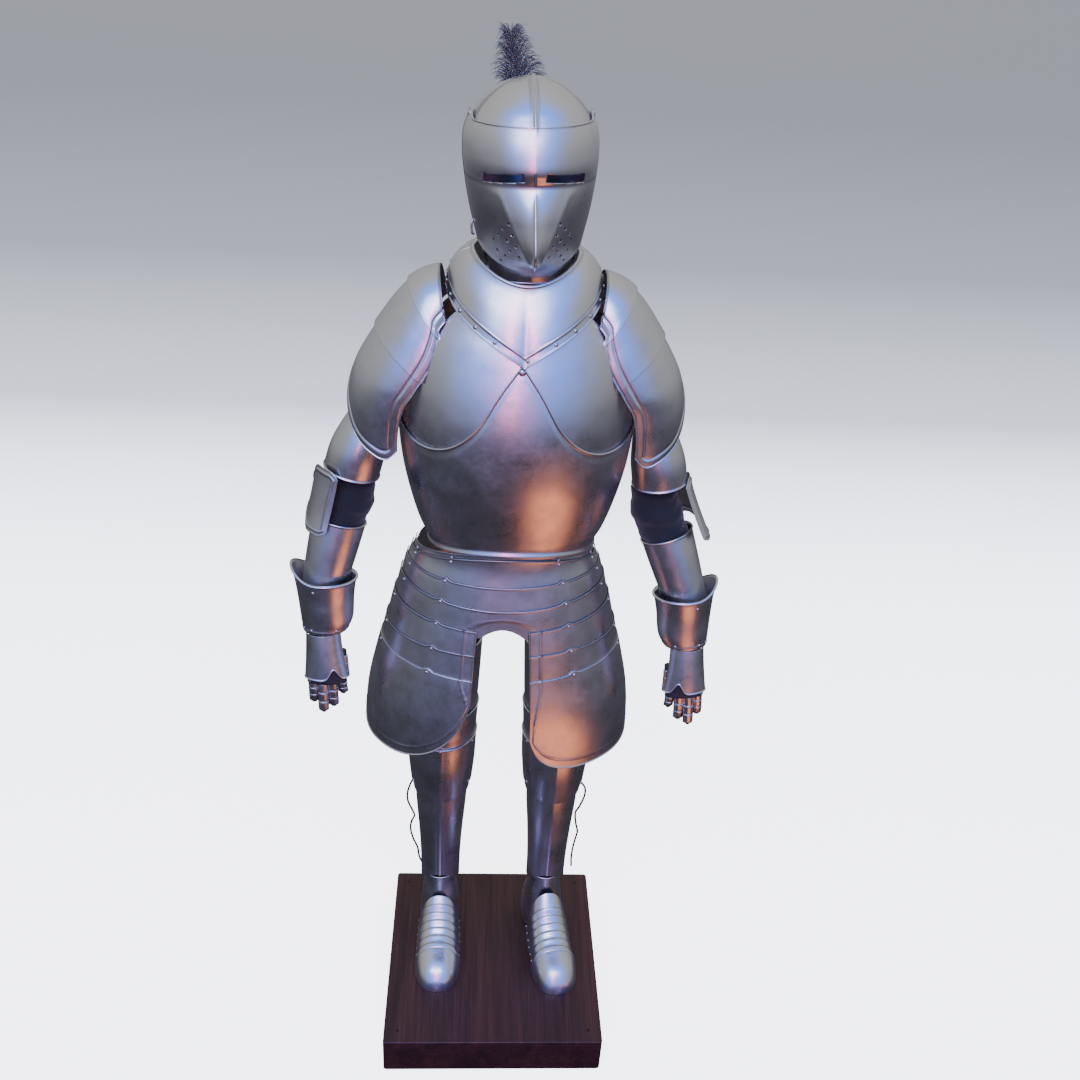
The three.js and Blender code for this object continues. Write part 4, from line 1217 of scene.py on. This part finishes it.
# The hook's route: off the visor, back and up.
HOOK = ((0.5, 4, 10), (4, 0, 6), (4.5, 0, -4), (3.5, 0, -12), (0.5, 3, -14))

head = shift(HEAD["x"], HEAD["y"], HEAD["z"]) @ spin("Y", HEAD["tilt"]) @ spin("Z", HEAD["turn"])
head = head @ shift(0, -HEAD["y"], -HEAD["z"])


def helmet(deg, z):
    """Oval sections, pulled forward on the middle line by the beak: its reach times (1 - |sin|) to the
    power of its keel."""
    point = oval(HELMET, 0, HEAD["y"])(deg, z)
    sharp = np.maximum(1 - np.abs(sine(deg)), 0) ** along(BEAK, "keel", z)
    point[..., 1] -= np.where(cosine(deg) > 0, np.maximum(along(BEAK, "reach", z), 0) * sharp, 0)
    return point


def crowned(deg, z):
    """The helmet's form, closed over the crown: above it each ring shrinks evenly to nothing."""
    over = np.clip((z - CROWN) / 10, 0, 0.99)
    point = helmet(deg, np.minimum(z, CROWN))
    middle = np.array([0, HEAD["y"]])
    point[..., :2] = middle + (point[..., :2] - middle) * (1 - over)[..., None]
    point[..., 2] = np.minimum(z, CROWN) + 1.6 * (1 - (1 - over) ** 2)
    return point


def visor_form(deg, z):
    """The helmet's form with a flat round ear at each temple, blended over 32 mm."""
    point = helmet(deg, z)
    far = np.hypot(point[..., 1] - HEAD["pivot_y"], point[..., 2] - HEAD["pivot_z"])
    wide = np.abs(point[..., 0])
    ear = wide + (HEAD["ear"] - wide) * (1 - smooth(far, 12, 44))
    point[..., 0] = np.sign(point[..., 0]) * np.maximum(wide, ear)
    return point


def skull_edge(deg):
    """The skull's lower edge: high over the face, and down behind the temples to the nape."""
    drop = smooth(np.minimum(deg, 360 - deg), SKULL_EDGE["from"], SKULL_EDGE["to"])
    return SKULL_EDGE["temple"] + (SKULL_EDGE["nape"] - SKULL_EDGE["temple"]) * drop


def comb_relief(edge):
    """The comb: a ridge along the middle line, over the crown from brow to nape, with painted shade along
    both sides of it.
    """
    lift = COMB["height"] * bell(edge["x"], 0, COMB["width"]) * smooth(edge["low"], 0, 14)
    return lift, 0.5 * bell(np.abs(edge["x"]), 6)


def visor_relief(edge):
    """Turned edges, a fold under the sights darkened by a band of painted shade, a sharp keel down the beak
    with a soft crease on each side of it, and a fading end of the comb. A line of painted shade runs inside
    the turned edges."""
    z, d = edge["v"], np.minimum(edge["high"], edge["first"])
    keel = 2.2 * np.exp(-np.abs(edge["x"]) / 2.0) * (1 - smooth(z, 1726, 1748))
    comb = COMB["height"] * 0.4 * bell(edge["x"], 0, COMB["width"]) * (1 - smooth(edge["high"], 0, 16))
    facet = FACET["deg"] * np.clip((z - FACET["bottom"]) / FACET["rise"], 0, 1) ** 0.8
    crease = 1.7 * np.exp(-np.abs(np.abs(edge["deg"]) - facet) / 3.5) * (1 - smooth(z, 1736, 1750))
    crease = crease * smooth(z, FACET["bottom"], FACET["bottom"] + 18)
    return keel + comb + roll(d, 1.3) + crease, 0.5 * bell(d, 3.4, 1.1) + 0.8 * bell(z, 1751, 3)


def cut_out(piece, points, faces):
    """Cuts closed shapes out of a piece, with an exact boolean that is applied."""
    mesh = mesh_of("cutters", points, faces)
    cutter = new_object("cutters", mesh)
    cut = piece.modifiers.new("cut", "BOOLEAN")
    cut.operation, cut.solver, cut.object = "DIFFERENCE", "EXACT", cutter
    old = piece.data
    piece.data = bpy.data.meshes.new_from_object(piece.evaluated_get(bpy.context.evaluated_depsgraph_get()))
    piece.modifiers.clear()
    piece.data.name = old.name
    bpy.data.objects.remove(cutter)
    bpy.data.meshes.remove(mesh)
    bpy.data.meshes.remove(old)


def bar(path, radius):
    """A bar of round section along a smooth path, with rounded ends."""
    path = smooth_route(np.array(path, float), 24)
    return tube(path, radius * blunt(np.abs(np.linspace(-1, 1, len(path))), 0.9, 0.1005, 0.05), 8)


plate_piece(
    "helmet_skull_plate", "helmet_skull",
    crowned, FULL, skull_edge, CROWN + CROWN_CAP, cols=128, rows=60, out=(-LAP, -LAP), keel=0.86,
    relief=comb_relief, place=head,
)
plate_piece(
    "bevor_plate", "bevor",
    helmet, (-BEVOR["half"], BEVOR["half"]), BEVOR["bottom"], BEVOR["top"], cols=64, rows=14,
    out=(-2.7 * LAP, -2.7 * LAP), keel=0.7, place=head,
    # A rolled lower edge, and painted shade along the top edge, under the visor.
    relief=lambda edge: (roll(edge["low"], 1.6), 0.8 * bell(edge["high"], 0, 12)),
)
visor = plate_piece(
    "beaked_visor", "visor",
    visor_form, (-VISOR["half"], VISOR["half"]),
    lambda deg: VISOR["bottom"] + 24 * smooth(np.abs(deg), 20, 90),
    lambda deg: VISOR["top"] + 10 * smooth(np.abs(deg), 66, 84),
    cols=110, rows=84, keel=0.8, relief=visor_relief, place=head,
    rides="visor_body",
)

cutters = []
for s in (-1, 1):
    middle, half = s * (SIGHT["inner"] + SIGHT["outer"]) / 2, (SIGHT["outer"] - SIGHT["inner"]) / 2
    corners = np.array([(x, z) for z in (-0.5, 0.5) for x in (-1, 1)]) * (half, SIGHT["height"])
    box = [(x, y, z) for y in (SIGHT["far"], SIGHT["near"]) for x, z in corners]
    rise = SIGHT["z"] + abs(middle) * sine(SIGHT["droop"])
    box = moved(np.array(box) + (middle, HEAD["y"], 0), shift(0, 0, rise) @ spin("Y", s * SIGHT["droop"]))
    sides = np.array([[4, 5, 1, 0], [5, 7, 3, 1], [7, 6, 2, 3], [6, 4, 0, 2], [1, 3, 2, 0], [6, 7, 5, 4]])
    cutters.append((box, sides))
    for row, count in enumerate(BREATHS["rows"]):
        for k in range(count):
            deg, z = (
                BREATHS["first"][i] + k * BREATHS["across"][i] + row * BREATHS["down"][i] for i in (0, 1)
            )
            (spot,), (normal,) = on_form(visor_form, [(s * deg, z)], 0)
            ends = np.array([spot - normal * 6, spot + normal * 6])
            cutters.append(tube(ends, [BREATHS["radius"]] * 2, 12))
points, faces = joined(cutters)
cut_out(visor, moved(points, head), faces)

dark_steel = steel_of("darkened_steel", (0.16, 0.15, 0.15), 0.42, 0.0, 0.6)
pivots = []
for s in (-1, 1):
    ear = np.array([s * (HEAD["ear"] + 1.0), HEAD["pivot_y"], HEAD["pivot_z"]])
    pivots.append(dome(ear, np.array([float(s), 0, 0]), 7.5, 4.5, 18))
    turn = np.linspace(0, 2 * np.pi, HOOP["steps"], endpoint=False)
    pivots.append(bar(ear + np.column_stack([
        0 * turn + s * 1.5, HOOP["radius"] * np.cos(turn), 3 + HOOP["radius"] * np.sin(turn),
    ]), HOOP["bar"]))
(nose,), _ = on_form(visor_form, [(0.0, 1765.0)], 1.5)
pin = bar([nose + (0, 0, z) for z in (-9, -3, 3, 9)], 2.1)
(hook,), (away,) = on_form(visor_form, [(-82.0, 1674.0)], 0.5)
latch = bar([hook + away * out + (0, y, z) for out, y, z in HOOK], 1.8)
for name, parts, metal, slot in (
    ("visor_pivots", pivots, rivet_steel, "steel"), ("visor_nose_pin", [pin], dark_steel, "dark_steel"),
    ("visor_hook", [latch], rivet_steel, "steel"),
):
    new_mesh(name, *joined(parts), metal, rides="visor_body", slot=slot, place=head)

# ---- plume --------------------------------------------------------------------------------------
# A dark dyed ostrich feather in a small steel tube that is riveted to the back of the skull. Long
# loose barbs leave the quill on both sides, rise and droop over at their tips.
PLUME_Y = 196.4
PLUME = table(("at", "x", "half", "front", "back"), [
    (1786, 0, 5, 5, 5), (1812, -6, 32, 9, 11), (1848, -11, 52, 12, 15), (1880, -18, 38, 12, 14),
    (1910, -25, 26, 10, 11), (1936, -28, 15, 7, 8), (1952, -28, 5, 4, 4),
])
SOCKET = {"low": 1738, "high": 1784, "radius": 9, "wall": 2.5}
BARBS = 1100
BARB_STEPS = 8
BARB_FIRST, BARB_LAST = 1790, 1926
QUILL = {"top": 1932, "steps": 30, "foot": 2.6, "tip": 0.8}
FEATHER_COLOURS = ((0.0035, 0.0045, 0.006), (0.022, 0.03, 0.042))

feather, tree, shader = nodes_of("dyed_feather")
strands = noise(tree, place_of(tree, "UV"), 900.0, 3.0)
feed(tree, shader, {
    "Base Color": ramp(tree, strands, (0.3, FEATHER_COLOURS[0]), (0.75, FEATHER_COLOURS[1])),
    "Normal": bump(tree, strands, 0.4, 0.0003), "Roughness": 0.62, "Sheen Weight": 0.6,
})

chance = np.random.default_rng(7)
start = BARB_FIRST + (BARB_LAST - BARB_FIRST) * chance.random(BARBS) ** 1.1
lean = np.where(chance.random(BARBS) < 0.5, -1.0, 1.0)
reach = np.maximum(along(PLUME, "half", start) * (0.08 + 0.82 * chance.random(BARBS)), 2)
deep = np.where(chance.random(BARBS) < 0.5, -1, 1) * chance.random(BARBS)
rise = (20 + 20 * chance.random(BARBS)) * np.clip((1948 - start) / 40, 0.3, 1)
droop = rise * (0.1 + 0.5 * chance.random(BARBS))
t = np.linspace(0, 1, BARB_STEPS + 1)
thick = np.where(deep > 0, along(PLUME, "back", start), along(PLUME, "front", start))
sway = 1.3 * np.sin(9 * t + 6.28 * chance.random(BARBS)[:, None]) * t
line = np.stack([
    along(PLUME, "x", start)[:, None] + (lean * reach)[:, None] * t**0.85 + sway,
    PLUME_Y + (deep * thick)[:, None] * np.sin(t * 2.4) + 0.6 * sway,
    start[:, None] + rise[:, None] * np.sin(t * 1.7) - droop[:, None] * t**3,
], -1)
turn = np.radians([90, 210, 330])
ring = np.stack([0.35 * np.cos(turn), np.cos(turn), np.sin(turn)], -1)
points = line[:, :, None] + 0.85 * (1 - 0.7 * t)[:, None, None] * ring
quads = quads_of(BARB_STEPS + 1, 3)
ends = np.array([[2, 1, 0], [3 * BARB_STEPS, 3 * BARB_STEPS + 1, 3 * BARB_STEPS + 2]])
barb = np.arange(BARBS)[:, None, None]
flow = np.stack(np.broadcast_arrays(40 * t[:, None], barb * 2.0 + turn), -1)
new_mesh(
    "feather_barbs", points.reshape(-1, 3),
    [(part + barb * 3 * (BARB_STEPS + 1)).reshape(-1, part.shape[1]) for part in (quads, ends)],
    feather, stands_for=["plume"], slot="feather", uv=flow.reshape(-1, 2), place=head,
)
level = np.linspace(SOCKET["low"] + 8, QUILL["top"], QUILL["steps"])
quill = np.column_stack([along(PLUME, "x", level) * smooth(level, 1770, 1800), 0 * level + PLUME_Y, level])
new_mesh(
    "feather_quill", *joined([tube(quill, np.linspace(QUILL["foot"], QUILL["tip"], QUILL["steps"]), 8)]),
    feather, slot="feather", place=head,
)
holder = table(SECTION, [(z, SOCKET["radius"], SOCKET["radius"], SOCKET["radius"]) for z in (0, 4000)])
plate_piece(
    "feather_socket", "plume_socket",
    oval(holder, 0, PLUME_Y), FULL, SOCKET["low"], SOCKET["high"], cols=32, rows=20, wall=SOCKET["wall"],
    relief=worked(ridges=[("low", 8, 2, 0.8), ("high", 4, 2, 0.8)], lines=[("low", 11, 0.5)]), place=head,
    material=dark_steel, slot="dark_steel",
)

# ---- studio -------------------------------------------------------------------------------------
# One sweep of paper, level and then bent up behind, that glows with painted light, white below and
# grey above. An orange card on the floor, out of view, and a blue sky show only in the steel. Sizes are
# in millimetres.
SWEEP = {"half": 12000, "wall": 3400, "bend": 1600, "top": 9000}
# How strongly the sweep glows: painted light, not a lamp.
SWEEP_PAINTED_LIGHT = 4.0
CARD = {"x": (320, 1100), "y": (-1450, -450), "z": 4, "colour": (1.0, 0.30, 0.11), "glow": 1.5}
SKY = {"blue": (0.15, 0.45, 1.75), "strength": 1.55}
ROOM = (
    (0.0, (0.022, 0.022, 0.027)), (0.29, (0.04, 0.04, 0.05)), (0.37, (0.09, 0.09, 0.105)),
    (0.44, (0.25, 0.255, 0.27)), (0.62, (0.37, 0.37, 0.365)), (1.0, (0.52, 0.50, 0.46)),
)
# Each lamp: its place and its aim in metres, its size, its power and its colour.
LAMPS = {
    "front_soft_light": ((-0.6, -3.0, 4.2), (0, 0, 1.1), (3.4, 2.6), 110, (0.90, 0.95, 1.0)),
    "pink_strip": ((-0.22, -3.0, 2.6), (0, 0, 1.3), (0.14, 3.6), 44, (1.0, 0.16, 0.24)),
}


def stage_sheet(name, material_name, points, faces, glow, paint):
    """A dull sheet of the set that glows in its own colour. paint gives the colour in its node tree."""
    mesh = mesh_of(name, points, faces)
    mesh.shade_smooth()
    sheet = new_object(name, mesh)
    material, tree, shader = nodes_of(material_name)
    colour = paint(tree)
    feed(tree, shader, {
        "Base Color": colour, "Emission Color": colour, "Emission Strength": glow, "Roughness": 0.95,
        "Specular IOR Level": 0.0,
    })
    mesh.materials.append(material)
    return sheet


def sweep_paint(tree):
    """The painted light of the sweep: lighter low down and near, greyer as it rises and goes back."""
    cross = wire(tree, "ShaderNodeSeparateXYZ", {0: place_of(tree)}).outputs
    far = maths(tree, "MULTIPLY_ADD", cross["Z"], 0.45, maths(tree, "MULTIPLY", cross["Y"], 0.12))
    return ramp(tree, far, (0.0, 1.0), (0.18, 0.9), (0.42, 0.26), (0.7, 0.12), (1.0, 0.085))


def fade(tree, value, low, high):
    """0 below low, 1 above high and smooth between."""
    inputs = {0: value, 1: low, 2: high, 3: 0.0, 4: 1.0}
    return wire(tree, "ShaderNodeMapRange", inputs, interpolation_type="SMOOTHSTEP").outputs[0]


bend = np.radians(np.linspace(0, 90, 33))
sweep = np.vstack([
    [(-SWEEP["half"], 0)],
    (SWEEP["wall"], 0) + SWEEP["bend"] * np.column_stack([np.sin(bend) - 1, 1 - np.cos(bend)]),
    [(SWEEP["wall"], SWEEP["top"])],
])
both = np.vstack([np.column_stack([np.full(len(sweep), s * SWEEP["half"]), sweep]) for s in (-1, 1)])
i = np.arange(len(sweep) - 1)
strips = np.column_stack([i, i + len(sweep), i + len(sweep) + 1, i + 1])
backdrop = stage_sheet("studio_sweep", "studio_paper", both, [strips], SWEEP_PAINTED_LIGHT, sweep_paint)
backdrop.visible_glossy = False
backdrop.visible_diffuse = False

(x0, x1), (y0, y1), z = CARD["x"], CARD["y"], CARD["z"]
card = stage_sheet(
    "ochre_card", "ochre_card", [(x0, y0, z), (x1, y0, z), (x1, y1, z), (x0, y1, z)],
    [np.array([[0, 1, 2, 3]])], CARD["glow"], lambda tree: (*CARD["colour"], 1),
)
card.visible_camera = False
card.visible_shadow = False

# The room that shows in the steel: slate below, warm grey at the sides, and the blue of the sky ahead.
world = bpy.data.worlds.new("soft_sky")
world.use_nodes = True
bpy.context.scene.world = world
tree = world.node_tree
way = wire(tree, "ShaderNodeSeparateXYZ", {0: place_of(tree, "Generated")}).outputs
room = ramp(tree, maths(tree, "MULTIPLY_ADD", way["Z"], 0.5, 0.5), *ROOM)
front = fade(tree, maths(tree, "MULTIPLY", way["Y"], -1.0), -0.25, 0.25)
window = maths(tree, "MULTIPLY", fade(tree, way["Z"], -0.26, 0.22), front)
middle = maths(tree, "SUBTRACT", 1.0, fade(tree, maths(tree, "ABSOLUTE", way["X"]), 0.4, 0.9))
sky = blended(tree, maths(tree, "MULTIPLY", window, middle), room, (*SKY["blue"], 1))
feed(tree, tree.nodes["Background"], {"Color": sky, "Strength": SKY["strength"]})

for name, (spot, aim, size, power, colour) in LAMPS.items():
    light = bpy.data.lights.new(name, "AREA")
    light.shape, light.size, light.size_y = "RECTANGLE", *size
    light.energy, light.color = power, colour
    body = new_object(name, light)
    ahead = unit(np.array(aim, float) - spot)
    side = unit(np.cross(ahead, (0, 0, 1.0)))
    put_at(body, spot, side, np.cross(side, ahead), -ahead)
    body.visible_camera = False
